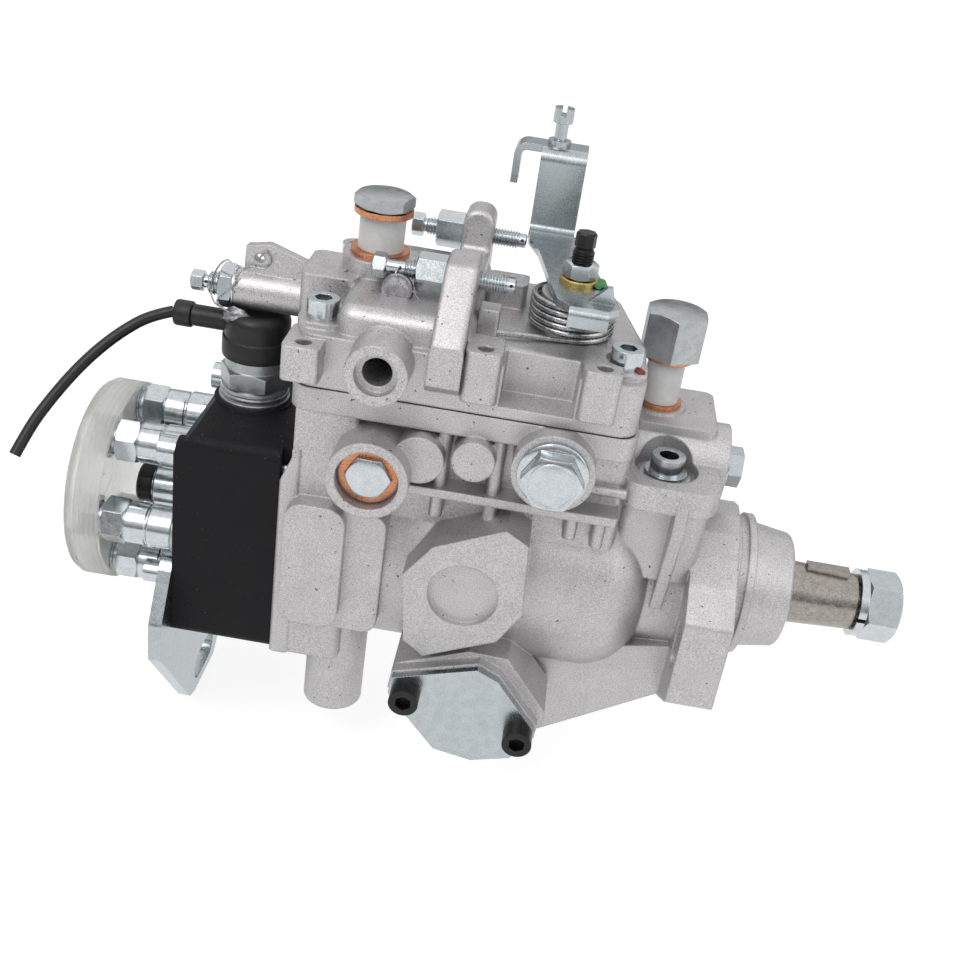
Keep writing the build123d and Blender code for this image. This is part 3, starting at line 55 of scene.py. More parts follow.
# ---------------------------------------------------------------- camera
# directions of the camera's right, down and ahead
VIEW_ROWS = (
    (0.98570116, 0.10160364, 0.1344244),
    (0.16674687, -0.47329189, -0.86497993),
    (-0.02426313, 0.87502657, -0.48346645),
)
EYE_MM = (-79.97, -371.79, 228.89)
LENS_MM = 45.6
SENSOR_MM = 36.0

camera_data = bpy.data.cameras.new("camera")
camera_data.lens = LENS_MM
camera_data.sensor_width = SENSOR_MM
camera_data.clip_start = 0.01
camera_data.clip_end = 50.0
camera = bpy.data.objects.new("camera", camera_data)
bpy.context.scene.collection.objects.link(camera)
right, down, ahead = (Vector(row) for row in VIEW_ROWS)
turn = Matrix((right, -down, -ahead)).transposed()
camera.matrix_world = Matrix.Translation(Vector(EYE_MM) * MM) @ turn.to_4x4()
bpy.context.scene.camera = camera
bpy.context.scene.view_settings.view_transform = "Standard"


# ---------------------------------------------------------------- materials
def linear(hex_code):
    """A six-digit sRGB colour as linear numbers, opaque."""
    channels = [int(hex_code[i:i + 2], 16) / 255 for i in (0, 2, 4)]
    return (*[c / 12.92 if c <= 0.04045 else ((c + 0.055) / 1.055) ** 2.4 for c in channels], 1.0)


def add_node(owner, kind, values=(), links=(), **settings):
    """Adds a node to a material or the world: settings, socket values, links as (socket, node, output)."""
    node = owner.node_tree.nodes.new("ShaderNode" + kind)
    for name, value in settings.items():
        setattr(node, name, value)
    for socket, value in values:
        node.inputs[socket].default_value = value
    for socket, source, output in links:
        owner.node_tree.links.new(source.outputs[output], node.inputs[socket])
    return node


def new_material(name):
    material = bpy.data.materials.new(name)
    material.use_nodes = True
    material.node_tree.nodes.clear()
    return material


# noise gathers round 0.5, so its middle part is spread over the whole of a finish
GRAIN_LOW, GRAIN_HIGH = 0.38, 0.62
PIT_BLUR = 0.04


def grained(
    name, dark, light, metallic, rough, grain_mm, depth_mm=0.0, mottle_mm=7.0, mottle=0.3, pits=None,
    edge_mm=0.35, **extra
):
    """A finish: grain in colour, gloss and relief over a broad mottle, pits or specks, and softened edges."""
    material = new_material(name)
    place = add_node(material, "TexCoord")
    grain = add_node(
        material, "TexNoise", [("Scale", 1 / (grain_mm * MM)), ("Detail", 3.0), ("Roughness", 0.6)],
        [("Vector", place, "Object")],
    )
    broad = add_node(
        material, "TexNoise", [("Scale", 1 / (mottle_mm * MM)), ("Detail", 2.0)],
        [("Vector", place, "Object")],
    )
    both = add_node(
        material, "Mix", [(0, mottle)], [(2, grain, "Fac"), (3, broad, "Fac")], data_type="FLOAT"
    )
    level = add_node(
        material, "MapRange", [("From Min", GRAIN_LOW), ("From Max", GRAIN_HIGH)], [("Value", both, 0)]
    )
    colour = add_node(
        material, "Mix", [(6, linear(dark)), (7, linear(light))], [(0, level, "Result")], data_type="RGBA"
    )
    if pits:
        pit_hex, pit_mm, pit_share = pits
        cells = add_node(
            material, "TexNoise", [("Scale", 1 / (pit_mm * MM)), ("Detail", 1.0)],
            [("Vector", place, "Object")],
        )
        spots = add_node(
            material, "MapRange", [("From Min", pit_share), ("From Max", pit_share + PIT_BLUR)],
            [("Value", cells, "Fac")],
        )
        colour = add_node(
            material, "Mix", [(7, linear(pit_hex))], [(0, spots, "Result"), (6, colour, 2)], data_type="RGBA"
        )
    gloss = add_node(
        material, "MapRange", [("To Min", rough[0]), ("To Max", rough[1])], [("Value", level, "Result")]
    )
    soft_edge = add_node(material, "Bevel", [("Radius", edge_mm * MM)], samples=4)
    links = [("Base Color", colour, 2), ("Roughness", gloss, "Result")]
    if depth_mm:
        relief = add_node(
            material, "Bump", [("Strength", 1.0), ("Distance", depth_mm * MM)],
            [("Height", grain, "Fac"), ("Normal", soft_edge, "Normal")],
        )
        links.append(("Normal", relief, "Normal"))
    else:
        links.append(("Normal", soft_edge, "Normal"))
    shader = add_node(material, "BsdfPrincipled", [("Metallic", metallic), *extra.items()], links)
    add_node(material, "OutputMaterial", [], [("Surface", shader, "BSDF")])
    return material


# The real grain of these finishes is too fine to show, so it is drawn coarser, at 0.4 to 2.5 mm.

# pressure-cast aluminium: a dull grey skin, sandy to the eye, with a few open pores and soft corners
cast_aluminium = grained(
    "die_cast_aluminium", "A9A7A8", "D6D4D5", 0.8, (0.42, 0.54), 0.38, 0.06, mottle=0.12,
    pits=("6E6B6C", 1.6, 0.735), edge_mm=1.0,
)
# the cover's casting: a little paler and smoother
cast_cover = grained(
    "cast_aluminium_cover", "A9A7A8", "D8D6D6", 0.8, (0.38, 0.5), 0.38, 0.07, mottle=0.12,
    pits=("6A6868", 1.4, 0.725), edge_mm=1.0,
)
# rough iron under black paint: deep and nearly matt, with grey specks where the paint is worn off
black_iron = grained(
    "black_painted_iron", "0B090C", "1A171B", 0.0, (0.5, 0.72), 0.8, 0.09,
    pits=("8E8E92", 0.6, 0.765), edge_mm=1.0, **{"Specular IOR Level": 0.22},
)
# zinc plate on screws and fittings: cool, bright and nearly a mirror
zinc = grained("zinc_plated_steel", "B4BABE", "C9CED1", 1.0, (0.16, 0.24), 0.5, 0.004, 2.5, 0.35)
# zinc plate on sheet: greyer, its reflections spread
zinc_sheet = grained("zinc_plated_sheet", "A4ABAE", "B9C0C3", 1.0, (0.22, 0.32), 0.5, 0.008, 3.0, 0.35)
# dull zinc plate: milky grey and satin
zinc_dull = grained("dull_zinc_plate", "9DA1A3", "B7BABB", 1.0, (0.28, 0.42), 0.5, 0.004, 3.0, 0.5)
# ground bare steel: warm grey with a soft shine
ground_steel = grained("ground_steel", "8A847F", "A8A29C", 1.0, (0.2, 0.32), 0.5, 0.004, 2.0, 0.4)
# hardened steel of the parts inside and of the outlets' bores: plain grey satin
inner_steel = grained("hardened_steel", "8A8A8C", "A6A6A8", 1.0, (0.25, 0.4), 1.2)
# oxide-blacked steel: nearly black with an oily sheen; it also gives the painted shade of the screws' wire
# holes
black_oxide = grained("black_oxide_steel", "0C0C0D", "1A1A1B", 0.3, (0.3, 0.45), 0.9)
# soft copper, brass and sintered bronze: warm satin metals
copper = grained("copper_washer", "B0714F", "D79D7C", 1.0, (0.26, 0.42), 0.6, 0.004)
brass = grained("brass_washer", "A68F52", "C9B479", 1.0, (0.28, 0.42), 0.6)
bronze = grained("sintered_bronze", "8F7340", "AD8F57", 1.0, (0.3, 0.45), 0.9)
# moulded rubber and extruded PVC: black, and dull on the rubber
rubber = grained("moulded_rubber", "070708", "121213", 0.0, (0.38, 0.55), 1.0, 0.02)
pvc = grained("extruded_pvc", "070708", "101011", 0.0, (0.35, 0.48), 1.0, 0.01)
# pressed fibre: dark and matt
gasket_fibre = grained("gasket_fibre", "2B2A28", "45433F", 0.0, (0.8, 0.95), 0.8, 0.03)
# drawn wire: bright along its turns
spring_wire = grained("drawn_spring_wire", "8E8F90", "BCBDBE", 1.0, (0.18, 0.3), 0.8, 0.004)
# lead pressed with tongs: dull grey and bruised
lead_seal = grained("pressed_lead_seal", "77757A", "9E9CA1", 0.9, (0.34, 0.5), 0.5, 0.05, 1.6, 0.5)
# brushed marking paint: a plain satin colour
red_paint = grained("red_marking_paint", "6E1A20", "8C2A30", 0.0, (0.35, 0.5), 0.6)
green_paint = grained("green_marking_paint", "1E6A34", "3C9A56", 0.0, (0.35, 0.5), 0.6)
# natural nylon: milky white, light sinks in a little
nylon = grained(
    "moulded_nylon", "E6E5E4", "F0EFEE", 0.0, (0.3, 0.4), 2.5,
    **{"Subsurface Weight": 0.25, "Subsurface Scale": 0.003},
)
# frosted polyethylene: pale and cloudy, with the fittings showing through as soft shapes
frosted_pe = grained(
    "frosted_polyethylene", "F6F6F4", "FDFDFC", 0.0, (0.3, 0.42), 2.5,
    **{"Transmission Weight": 0.72, "IOR": 1.1, "Specular IOR Level": 0.5},
)

FINISHES = {
    cast_aluminium: ("pump_housing",),
    cast_cover: ("governor_cover",),
    black_iron: ("distributor_head",),
    zinc: (
        "cover_screws", "socket_screws", "shaft_nut", "spring_washer", "regulating_valve", "governor_shaft",
    ),
    zinc_sheet: ("timing_covers", "rear_bracket", "speed_lever"),
    ground_steel: ("drive_shaft", "woodruff_key"),
    copper: ("sealing_washers",),
    nylon: ("plastic_sleeves",),
    rubber: ("rubber_boot", "shaft_seal"),
    gasket_fibre: ("cover_gasket",),
    bronze: ("shaft_bush",),
    spring_wire: ("valve_springs", "timing_spring", "plunger_springs", "governor_spring"),
    black_oxide: ("control_shaft",),
}
for finish, names in FINISHES.items():
    for name in names:
        nodes[name].data.materials.clear()
        nodes[name].data.materials.append(finish)
dressed = {name for names in FINISHES.values() for name in names}
for name in sorted(set(nodes) - dressed):
    nodes[name].data.materials.clear()
    nodes[name].data.materials.append(inner_steel)


def repaint(name, finish, chosen):
    """Gives the faces of a CAD node another finish where their centre, in mm, is chosen."""
    mesh = nodes[name].data
    mesh.materials.append(finish)
    for face in mesh.polygons:
        if chosen(face.center / MM):
            face.material_index = 1


TIMING_SCREWS_Y = 41.0  # the timing covers' screws lie past this, to either side
HEAD_SCREWS_X = -120.0  # behind this, the screws are the head's
OUTLET_RINGS_X = -180.0  # behind this, the rings are steel and lie under the outlets
repaint("socket_screws", black_oxide, lambda at: abs(at.y) > TIMING_SCREWS_Y and at.x > HEAD_SCREWS_X)
repaint("sealing_washers", zinc_dull, lambda at: at.x < OUTLET_RINGS_X)


# ---------------------------------------------------------------- piece building
def local(origin, along, across=(1, 0, 0)):
    """Places local mm: z runs along an axis from the origin, x towards across."""
    z = Vector(along).normalized()
    x = Vector(across)
    x = (x - z * x.dot(z)).normalized()
    axes = Matrix((x, z.cross(x), z)).transposed().to_4x4()
    return Matrix.Translation(Vector(origin) * MM) @ axes @ Matrix.Scale(MM, 4)


def skin(bm, place, rings, finish=0, closed=False):
    """Joins rings of points into a skin, flat at both ends, or closed on itself."""
    made = [[bm.verts.new(place @ Vector(point)) for point in ring] for ring in rings]
    if closed:
        made.append(made[0])
    faces = []
    count = len(made[0])
    for low, high in zip(made, made[1:]):
        for i in range(count):
            j = (i + 1) % count
            faces.append(bm.faces.new((low[i], low[j], high[j], high[i])))
    if not closed:
        faces.append(bm.faces.new(made[0][::-1]))
        faces.append(bm.faces.new(made[-1]))
    for face in faces:
        face.material_index = finish
        face.smooth = True


def turned(bm, place, profile, finish=0, closed=False, sides=64):
    """Turned shape from (radius, height) pairs."""
    angles = [math.tau * i / sides for i in range(sides)]
    rings = [[(r * math.cos(a), r * math.sin(a), z) for a in angles] for r, z in profile]
    skin(bm, place, rings, finish, closed)


HEXAGON_POINTS = 72
CROWN_DEG = 30


def hexagon(bm, place, low, high, across, crowns=(True, True), flat=0.95):
    """Hexagon across its flats, with chamfered ends where crowned."""
    angles = [math.tau * i / HEXAGON_POINTS for i in range(HEXAGON_POINTS)]
    reach = [across / 2 / math.cos(a % (math.pi / 3) - math.pi / 6) for a in angles]
    disc = across / 2 * flat
    drops = [(r - disc) * math.tan(math.radians(CROWN_DEG)) for r in reach]

    def ring(radii, heights):
        return [(r * math.cos(a), r * math.sin(a), z) for a, r, z in zip(angles, radii, heights)]

    rings = []
    if crowns[0]:
        rings.append(ring([disc] * HEXAGON_POINTS, [low] * HEXAGON_POINTS))
        rings.append(ring(reach, [low + drop for drop in drops]))
    else:
        rings.append(ring(reach, [low] * HEXAGON_POINTS))
    if crowns[1]:
        rings.append(ring(reach, [high - drop for drop in drops]))
        rings.append(ring([disc] * HEXAGON_POINTS, [high] * HEXAGON_POINTS))
    else:
        rings.append(ring(reach, [high] * HEXAGON_POINTS))
    skin(bm, place, rings)


THREAD_WAVE = (1.0, 1.0, 0.55, 0.1, 0.0, 0.1, 0.55, 1.0)  # one pitch, from crest to crest
THREAD_STEPS = len(THREAD_WAVE)
THREAD_DEPTH = 0.58  # of the pitch


def thread(bm, place, low, high, outer, pitch):
    """Right-hand screw thread with chamfered ends."""
    columns = 32
    root = outer / 2 - THREAD_DEPTH * pitch
    rows = (math.ceil((high - low) / pitch) + 2) * THREAD_STEPS + 1
    made = []
    for row in range(rows):
        line = []
        for column in range(columns + 1):
            share = column / columns
            z = min(max(low + (row / THREAD_STEPS - 1 + share) * pitch, low), high)
            phase = ((z - low) / pitch - share) % 1 * THREAD_STEPS
            step = int(phase + 1e-6)
            part = max(phase - step, 0)
            crest, following = THREAD_WAVE[step % THREAD_STEPS], THREAD_WAVE[(step + 1) % THREAD_STEPS]
            wave = crest * (1 - part) + following * part
            r = min(root + (outer / 2 - root) * wave, root + min(z - low, high - z))
            angle = math.tau * share
            line.append(bm.verts.new(place @ Vector((r * math.cos(angle), r * math.sin(angle), z))))
        made.append(line)
    faces = [bm.faces.new(made[0][:columns][::-1]), bm.faces.new(made[-1][:columns])]
    for lower, upper in zip(made, made[1:]):
        for i in range(columns):
            faces.append(bm.faces.new((lower[i], lower[i + 1], upper[i + 1], upper[i])))
    for face in faces:
        face.smooth = True
    bmesh.ops.remove_doubles(bm, verts=[v for line in made for v in line], dist=1e-7)


SHARP_DEG = 34  # edges that turn more than this stay sharp


def piece(name, bm, finishes, body, *stands_for, slot=None):
    """Makes an object of a mesh, moving with a CAD body and standing for CAD nodes."""
    bmesh.ops.recalc_face_normals(bm, faces=bm.faces)
    mesh = bpy.data.meshes.new(name)
    bm.to_mesh(mesh)
    bm.free()
    for finish in finishes:
        mesh.materials.append(finish)
    mesh.set_sharp_from_angle(angle=math.radians(SHARP_DEG))
    made = bpy.data.objects.new(name, mesh)
    bpy.context.scene.collection.objects.link(made)
    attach(made, body)
    if stands_for:
        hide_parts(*stands_for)


def wire(name, points, diameter, finish, body, *stands_for, kind="POLY"):
    """Round wire through points, in mm."""
    curve = bpy.data.curves.new(name, "CURVE")
    curve.dimensions = "3D"
    curve.bevel_depth = diameter / 2 * MM
    curve.bevel_resolution = 6
    curve.resolution_u = 12
    curve.use_fill_caps = True
    line = curve.splines.new(kind)
    line.points.add(len(points) - 1)
    for point, place in zip(line.points, points):
        point.co = (*[value * MM for value in place], 1.0)
    if kind == "NURBS":
        line.order_u = 3
        line.use_endpoint_u = True
    curve.materials.append(finish)
    made = bpy.data.objects.new(name, curve)
    bpy.context.scene.collection.objects.link(made)
    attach(made, body)
    if stands_for:
        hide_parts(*stands_for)
    return made


# ---------------------------------------------------------------- outlets
OUTLET_R = 27.5
HEAD_FACE_X = -188.0
HOLDER_X = HEAD_FACE_X - 1.0
outlet_angles = [math.radians(180 + 60 * i) for i in range(6)]
outlet_yz = [(OUTLET_R * math.cos(angle), OUTLET_R * math.sin(angle)) for angle in outlet_angles]
bm = bmesh.new()
for number, (y, z) in enumerate(outlet_yz):
    tilt = math.radians(12 + 17 * number)
    at = local((HOLDER_X, y, z), (-1, 0, 0), (0, math.cos(tilt), math.sin(tilt)))
    turned(bm, at, (
        (7.0, 0), (7.6, 0.6), (7.6, 8.2), (7.3, 8.6), (6.9, 8.9), (6.9, 9.3), (7.2, 9.7), (7.2, 16.2),
        (6.4, 17),
    ))
    hexagon(bm, at, 16.5, 24.5, 14)
    turned(bm, at, ((5.2, 24), (5.2, 25.8)))
    thread(bm, at, 25.4, 32.5, 12, 1.5)
    turned(bm, at, ((1.5, 32.4), (2.8, 32.55), (1.5, 31.2)), 1, closed=True)
piece("outlet_fittings", bm, (zinc, inner_steel), "housing", "delivery_valve_holders", slot="zinc_steel")

# ---------------------------------------------------------------- cap over the outlets
CAP_X = -226.5
CAP_R = 35.5
CAP_RIBS = 5
CAP_RIB_PITCH = 1.9
bm = bmesh.new()
at = local((CAP_X, 0, 0), (1, 0, 0), (0, 1, 0))
outside = [(CAP_R - 3, 0), (CAP_R - 1.2, 0.7), (CAP_R - 0.2, 2.2)]
for step in range(CAP_RIBS):
    foot = 2.6 + step * CAP_RIB_PITCH
    outside += [(CAP_R, foot), (CAP_R, foot + 1.2), (CAP_R - 0.18, foot + 1.35), (CAP_R - 0.18, foot + 1.75)]
outside += [(CAP_R, 12.3), (CAP_R - 0.3, 12.6)]
inside = [(CAP_R - 1.3, 12.6), (CAP_R - 1.6, 12.3), (CAP_R - 1.6, 3.6), (CAP_R - 4.4, 1.6)]
face_steps = ((1.35, 1.6), (1.6, 1.35))
face_rings = [(CAP_R - 6 - 3 * i, depth) for i in range(8) for depth in face_steps[i % 2]]
turned(bm, at, outside + inside + face_rings + [(0.5, 1.6), (0.5, 0)], closed=True, sides=128)
for y, z in outlet_yz:
    at = local((CAP_X, y, z), (1, 0, 0), (0, 1, 0))
    turned(bm, at, ((6.2, 1.2), (7.3, 1.2), (7.3, 10.4), (7.1, 10.6), (6.4, 10.6), (6.2, 10.4)), closed=True)
piece("outlet_cap", bm, (frosted_pe,), "cap", "protective_cap", slot="clear_plastic")

# ---------------------------------------------------------------- plugs
SIDE_PLUG = (-67.3, -45, 54.3)
RECESSED_PLUG = (-123.3, -45, 43.8)
bm = bmesh.new()
at = local(SIDE_PLUG, (0, -1, 0))
turned(bm, at, ((10.6, 0), (11, 0.3), (11, 1.2), (10.3, 1.7), (8.4, 1.9), (8.2, 1.9)))
hexagon(bm, at, 1.5, 7.6, 17, crowns=(False, True), flat=0.93)
turned(bm, at, ((7.4, 7.5), (7.4, 7.7), (6.9, 7.7), (6.9, 7.5)), closed=True)
turned(bm, at, ((8.98, -8), (8.98, 0.2)))
at = local(RECESSED_PLUG, (0, -1, 0))
hexagon(bm, at, 0, 3.4, 13, crowns=(False, True), flat=0.93)
turned(bm, at, ((6.6, 0.3), (9.3, 0.3), (9.3, 1.3), (6.6, 1.3)), 1, closed=True)
turned(bm, at, ((6.98, -10), (6.98, 0.2)))
at = local((HEAD_FACE_X, 0, 0), (-1, 0, 0), (0, 1, 0))
turned(bm, at, (
    (8.6, 0), (9, 0.4), (9, 1.2), (8.6, 1.5), (7.4, 1.5), (7.4, 16.4), (6.9, 16.9), (6.4, 17), (6.4, 17.5),
))
turned(bm, at, ((6.6, 17.4), (7, 17.8), (7, 22.2), (6.4, 22.9), (5.4, 23)), 2)
turned(bm, at, ((8, -7), (8, 0.1)))
piece("hexagon_plugs", bm, (zinc, copper, black_oxide), "housing", "plugs", slot="zinc_steel")

# ---------------------------------------------------------------- banjo bolts
RETURN = (-133.5, 3.0)
RETURN_Z = 98.4  # seat of the return bolt's lower ring
INLET = (-35.0, 7.0)
bm = bmesh.new()
tilt = math.radians(15)
at = local((*RETURN, 0), (0, 0, 1), (math.cos(tilt), math.sin(tilt), 0))
hexagon(bm, at, RETURN_Z + 15.1, RETURN_Z + 19.6, 17, flat=0.97)
turned(bm, at, ((5.9, RETURN_Z - 9.4), (5.9, RETURN_Z + 15.5)))
piece("return_banjo_bolt", bm, (zinc_dull,), "housing", "return_bolt", slot="zinc_steel")
bm = bmesh.new()
tilt = math.radians(30)
at = local((*INLET, 0), (0, 0, 1), (math.cos(tilt), math.sin(tilt), 0))
hexagon(bm, at, 78.9, 94.4, 19, crowns=(False, True), flat=0.96)
turned(bm, at, ((5.1, 51.5), (5.1, 79.2)))
piece("inlet_banjo_bolt", bm, (zinc_dull,), "housing", "inlet_bolt", slot="zinc_steel")

# ---------------------------------------------------------------- adjusting screws
# places across, tips and ends along x, and turns in degrees of the idle and the top speed screw
STOP_SCREWS = ((36.5, 99.2, -88, -128, 20), (-13, 100.1, -88, -133, 4))
WIRE_HOLE_WAY = (0, -1, 0.35)
LOAD_SCREW_Z = 80.0
LOAD_SCREW_TURN = 0.35  # radians
bm = bmesh.new()
for y, z, tip, end, tilt in STOP_SCREWS:
    angle = math.radians(tilt)
    at = local((0, y, z), (1, 0, 0), (0, math.cos(angle), math.sin(angle)))
    hexagon(bm, at, end, end + 4.4, 7, flat=0.9)
    turned(bm, at, ((2.3, end + 4), (2.3, -122.4)))
    thread(bm, at, -122.8, -119, 6, 1.0)
    hexagon(bm, at, -119.2, -110, 11, crowns=(True, False))
    thread(bm, at, -100, tip - 2.6, 6, 1.0)
    turned(bm, at, ((2.4, tip - 3), (2.4, tip - 0.5), (1.9, tip)))
    # the seal-wire holes are not cut: black rods whose ends just reach the surface paint the shade inside
    # each hole
    cross = local((-124.4, y, z), WIRE_HOLE_WAY)
    turned(bm, cross, ((0.6, -2.36), (0.6, 2.36)), 1, sides=16)
    cross = local((tip - 1.5, y, z), WIRE_HOLE_WAY)
    turned(bm, cross, ((0.5, -2.45), (0.5, 2.45)), 1, sides=16)
at = local((0, 0, LOAD_SCREW_Z), (1, 0, 0), (0, math.cos(LOAD_SCREW_TURN), math.sin(LOAD_SCREW_TURN)))
hexagon(bm, at, -194, -189.6, 6, flat=0.9)
turned(bm, at, ((2.1, -190), (2.1, -187.6)))
thread(bm, at, -188, -183.6, 8, 1.25)
hexagon(bm, at, -184, -179, 13)
turned(bm, at, ((6.9, -179.2), (6.9, -178.6)))
turned(bm, at, ((4, -180), (4, -114.5)))
# the load screw's wire hole is painted shade too: a black rod whose ends just reach the surface
cross = local((-188.8, 0, LOAD_SCREW_Z), WIRE_HOLE_WAY)
turned(bm, cross, ((0.5, -2.16), (0.5, 2.16)), 1, sides=16)
piece("stop_and_load_screws", bm, (zinc, black_oxide), "housing", "adjusting_screws", slot="zinc_steel")

# ---------------------------------------------------------------- lever nut, thread of the control shaft
CONTROL_X = -69.0
bm = bmesh.new()
at = local((CONTROL_X, 0, 0), (0, 0, 1))
turned(bm, at, ((3.05, 100.5), (6.2, 100.5), (6.2, 101.9), (5.9, 102.2), (3.05, 102.2)), 1, closed=True)
hexagon(bm, at, 102.3, 107.3, 10, flat=0.94)
piece("lever_lock_nut", bm, (zinc, brass), "speed_control", "lever_nut", slot="zinc_steel")
bm = bmesh.new()
at = local((CONTROL_X, 0, 0), (0, 0, 1))
thread(bm, at, 107.1, 111.3, 7.0, 0.9)
turned(bm, at, ((3.05, 111), (2.9, 111.9), (3.35, 112.4), (3.35, 116.4), (2.9, 117)), sides=8)
piece("control_shaft_end", bm, (black_oxide,), "speed_control", slot="black_oxide")

# ---------------------------------------------------------------- return spring
COIL_R = 13.2
COIL_WIRE = 1.9
COIL_TURNS = 5
COIL_PITCH = 2.05
COIL_STEPS = 32  # in a turn
LOW_ROOF_Z = 84.5
coil_low = LOW_ROOF_Z + COIL_WIRE / 2 + 0.1
leg_end = Vector((-93.8, -18.1, coil_low + 0.6))
away = Vector((leg_end.x - CONTROL_X, leg_end.y))
tangent = math.atan2(away.y, away.x) + math.acos(COIL_R / away.length)
spring_points = [tuple(leg_end)]
for step in range(COIL_TURNS * COIL_STEPS + 1):
    angle = tangent + math.tau * step / COIL_STEPS
    height = coil_low + step / COIL_STEPS * COIL_PITCH
    spring_points.append((CONTROL_X + COIL_R * math.cos(angle), COIL_R * math.sin(angle), height))
wire("torsion_return_spring", spring_points, COIL_WIRE, spring_wire, "housing", "return_spring")

# ---------------------------------------------------------------- stop solenoid
SOLENOID = (-171.4, 0.0)
bm = bmesh.new()
at = local((*SOLENOID, 0), (0, 0, 1))
turned(bm, at, (
    (12, 41.5), (12, 42.7), (11.6, 43), (11.2, 43.1), (11.2, 43.4), (11.7, 43.7), (11.7, 44.6), (11.2, 44.9),
    (11.2, 45.2), (11.4, 45.5), (11.2, 46.6),
))
hexagon(bm, at, 46.4, 53.5, 21, flat=0.97)
turned(bm, at, ((10.2, 53.3), (10.2, 57.2)))
turned(bm, at, ((9, 57), (9, 69)))
turned(bm, at, ((9, 33), (9, 41.6)))
piece("solenoid_body", bm, (zinc_dull,), "housing", "shutoff_solenoid", slot="zinc_steel")
bm = bmesh.new()
turned(bm, at, ((11.02, 57.35), (11.5, 57.5), (11.6, 58.2), (11.6, 63.8), (11.3, 64.3), (11.02, 64.5)))
spout = local((-185, 0, 67.5), (-1, 0, 0), (0, 1, 0))
turned(bm, spout, ((3.7, 8.2), (4.3, 8.6), (4.4, 9.2), (4.4, 13.6), (4.1, 14.2), (3.4, 14.4)))
piece("boot_collars", bm, (rubber,), "housing", slot="black_rubber")

# ---------------------------------------------------------------- seals and their wires
SEAL_WIRE = 0.55
ROUND_SEAL = (-124.2, -17.5, 94.4)
ROUND_SEAL_WAY = (-0.15, -0.92, 0.36)
CRIMPED_SEAL = Vector((-176.9, -6.5, 72.2))
CRIMPED_SEAL_HALF = (4.3, 2.0, 3.0)


def arc_between(points, steps=10):
    """Smooth line through points."""
    line = []
    for i in range(len(points) - 1):
        before, start = Vector(points[max(i - 1, 0)]), Vector(points[i])
        end, after = Vector(points[i + 1]), Vector(points[min(i + 2, len(points) - 1)])
        for step in range(steps):
            t = step / steps
            line.append(0.5 * (
                2 * start + (end - before) * t + (2 * before - 5 * start + 4 * end - after) * t * t
                + (3 * start - before - 3 * end + after) * t ** 3
            ))
    line.append(Vector(points[-1]))
    return line


bm = bmesh.new()
at = local(ROUND_SEAL, ROUND_SEAL_WAY)
turned(bm, at, (
    (4.6, -1.3), (5.2, -0.8), (5.3, 0), (5.1, 0.9), (4.6, 1.2), (3.9, 1.0), (3.4, 1.15), (1.2, 1.1),
), sides=40)
piece("round_seal", bm, (lead_seal,), "housing")
bm = bmesh.new()
bmesh.ops.create_icosphere(bm, subdivisions=3, radius=1)
for vert in bm.verts:
    x, y, z = vert.co
    dent = 1 + 0.16 * math.sin(5 * x + 3 * z) * math.cos(4 * y - 2 * x) + 0.1 * math.sin(9 * z + 4 * y)
    offset = Vector([half * unit * dent for half, unit in zip(CRIMPED_SEAL_HALF, (x, y, z))])
    vert.co = (CRIMPED_SEAL + offset) * MM
for face in bm.faces:
    face.smooth = True
piece("crimped_seal", bm, (lead_seal,), "housing")
wire("seal_wire_right", arc_between((
    (-124.4, -14.8, 101.4), (-125.2, -16.9, 99.5), (-122.6, -18.2, 96.5), (-119.4, -18.4, 95.4),
    (-117.2, -18.6, 93.2), (-113.5, -19.4, 89.6), (-109.5, -21.0, 86.8), (-104.6, -22.6, 86.4),
    (-100.6, -23.0, 88.6), (-98.9, -22.0, 90.6), (-98.8, -20.6, 89.2), (-99.6, -20.2, 87.2),
)), SEAL_WIRE, spring_wire, "housing")
wire("seal_wire_left", arc_between((
    (-180.0, -6.4, 73.4), (-184.6, -6.6, 76.0), (-186.4, -4.4, 80.4), (-185.0, -2.6, 86.2),
    (-181.8, -2.4, 89.4), (-178.6, -4.2, 87.2), (-178.2, -6.4, 83.0), (-176.6, -4.6, 87.4),
    (-173.6, -3.0, 88.6), (-169.4, -2.8, 88.8), (-167.6, -2.6, 91.4), (-169.4, -2.4, 94.2),
    (-171.5, -2.2, 91.5), (-171.5, 2.4, 91.3),
)), SEAL_WIRE, spring_wire, "housing")
wire("seal_wire_twist", arc_between((
    (-178.2, -6.4, 83.0), (-181.6, -6.8, 79.2), (-183.6, -6.8, 76.4), (-180.4, -6.9, 73.8),
    (-177.4, -7.4, 73.0),
)), SEAL_WIRE, spring_wire, "housing")


def daub(name, centre, size, finish, body):
    """Small drop of marking paint."""
    bm = bmesh.new()
    bmesh.ops.create_icosphere(bm, subdivisions=3, radius=1)
    for vert in bm.verts:
        x, y, z = vert.co
        ragged = 1 + 0.22 * math.sin(6 * x + 2 * y) * math.cos(5 * y - 3 * z)
        offset = (x * size[0] * ragged, y * size[1] * ragged, z * size[2])
        vert.co = (Vector(centre) + Vector(offset)) * MM
    for face in bm.faces:
        face.smooth = True
    piece(name, bm, (finish,), body)


daub("red_paint_mark", (-46.6, -30.4, 86.0), (1.5, 1.6, 1.2), red_paint, "housing")
daub("green_paint_mark", (-62.6, 0.2, 101.0), (2.8, 4.4, 0.9), green_paint, "speed_control")

# ---------------------------------------------------------------- solenoid lead
LEAD_MM = (
    (-200.1, 0, 67.5), (-207.2, -2, 65.6), (-215, -7, 60.6), (-221.6, -12.5, 54.8),
    (-227.8, -18.5, 47.6), (-233.2, -25, 39.6), (-237.3, -31, 32.4), (-240, -37.5, 24.6),
)
LEAD_D = 3.8
lead = wire("lead", LEAD_MM, LEAD_D, pvc, "housing", "solenoid_wire", kind="NURBS")

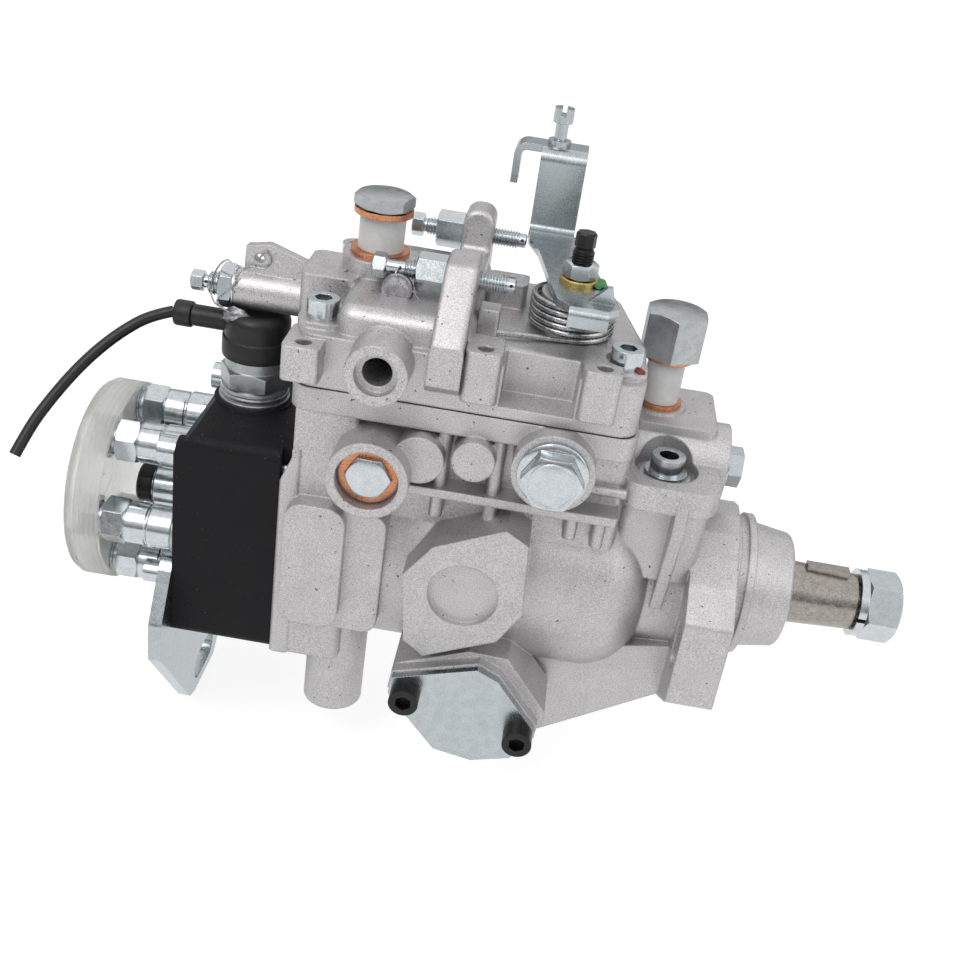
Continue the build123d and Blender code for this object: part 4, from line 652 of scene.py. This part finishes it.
# ---------------------------------------------------------------- floor, lamps and world
# metres
FLOOR_HALF = 9.0
FLOOR_GAP = 0.0005
FLOOR_GLOW = 0.8
floor_mesh = bpy.data.meshes.new("floor")
floor_z = cad_box[0].z - FLOOR_GAP
floor_mesh.from_pydata(
    [(-FLOOR_HALF, -FLOOR_HALF, floor_z), (FLOOR_HALF, -FLOOR_HALF, floor_z),
     (FLOOR_HALF, FLOOR_HALF, floor_z), (-FLOOR_HALF, FLOOR_HALF, floor_z)], [], [(0, 1, 2, 3)],
)
floor = bpy.data.objects.new("floor", floor_mesh)
bpy.context.scene.collection.objects.link(floor)
# white paper that glows where it is seen straight on, mirrored or through plastic, and still takes a shadow
paper = new_material("white_paper")
paper_rays = add_node(paper, "LightPath")
seen = add_node(
    paper, "Math", [], [(0, paper_rays, "Is Camera Ray"), (1, paper_rays, "Is Glossy Ray")],
    operation="MAXIMUM",
)
seen_or_through = add_node(
    paper, "Math", [], [(0, seen, "Value"), (1, paper_rays, "Is Transmission Ray")], operation="MAXIMUM"
)
lift = add_node(paper, "Math", [(1, FLOOR_GLOW)], [(0, seen_or_through, "Value")], operation="MULTIPLY")
paper_bsdf = add_node(
    paper, "BsdfPrincipled",
    [("Base Color", linear("B4B4B4")), ("Roughness", 0.9), ("Emission Color", (1, 1, 1, 1))],
    [("Emission Strength", lift, "Value")],
)
add_node(paper, "OutputMaterial", [], [("Surface", paper_bsdf, "BSDF")])
floor.data.materials.append(paper)

# pale all round and brighter overhead, more so for mirrored light, and plain white behind the pump
world = bpy.data.worlds.new("studio")
bpy.context.scene.world = world
world.use_nodes = True
world.node_tree.nodes.clear()
sky_place = add_node(world, "TexCoord")
sky_axes = add_node(world, "SeparateXYZ", [], [("Vector", sky_place, "Generated")])
sky_level = add_node(
    world, "MapRange", [("From Min", 0.0), ("From Max", 0.8), ("To Min", 0.16), ("To Max", 0.5)],
    [("Value", sky_axes, "Z")],
)
sky_mirrored = add_node(
    world, "MapRange", [("From Min", 0.05), ("From Max", 0.6), ("To Min", 0.2), ("To Max", 1.1)],
    [("Value", sky_axes, "Z")],
)
sky_rays = add_node(world, "LightPath")
sky_lit = add_node(
    world, "Mix", [], [(0, sky_rays, "Is Glossy Ray"), (2, sky_level, "Result"), (3, sky_mirrored, "Result")],
    data_type="FLOAT",
)
sky_strength = add_node(
    world, "Mix", [(3, 1.0)], [(0, sky_rays, "Is Camera Ray"), (2, sky_lit, 0)], data_type="FLOAT"
)
sky = add_node(world, "Background", [("Color", (1, 1, 1, 1))], [("Strength", sky_strength, 0)])
add_node(world, "OutputWorld", [], [("Surface", sky, "Background")])


def softbox(name, place, target, size, power):
    """Square lamp aimed at a target, in metres and watts."""
    data = bpy.data.lights.new(name, "AREA")
    data.shape = "RECTANGLE"
    data.size, data.size_y = size
    data.energy = power
    lamp = bpy.data.objects.new(name, data)
    lamp.location = place
    lamp.rotation_mode = "QUATERNION"
    lamp.rotation_quaternion = (Vector(target) - Vector(place)).to_track_quat("-Z", "Y")
    bpy.context.scene.collection.objects.link(lamp)


PUMP_MIDDLE = (-0.08, 0, 0.0)
softbox("key", (-0.5, -0.7, 1.0), PUMP_MIDDLE, (0.7, 0.7), 5.5)
softbox("fill", (0.9, -0.5, 0.5), PUMP_MIDDLE, (0.8, 0.8), 2.5)

bpy.context.view_layer.update()
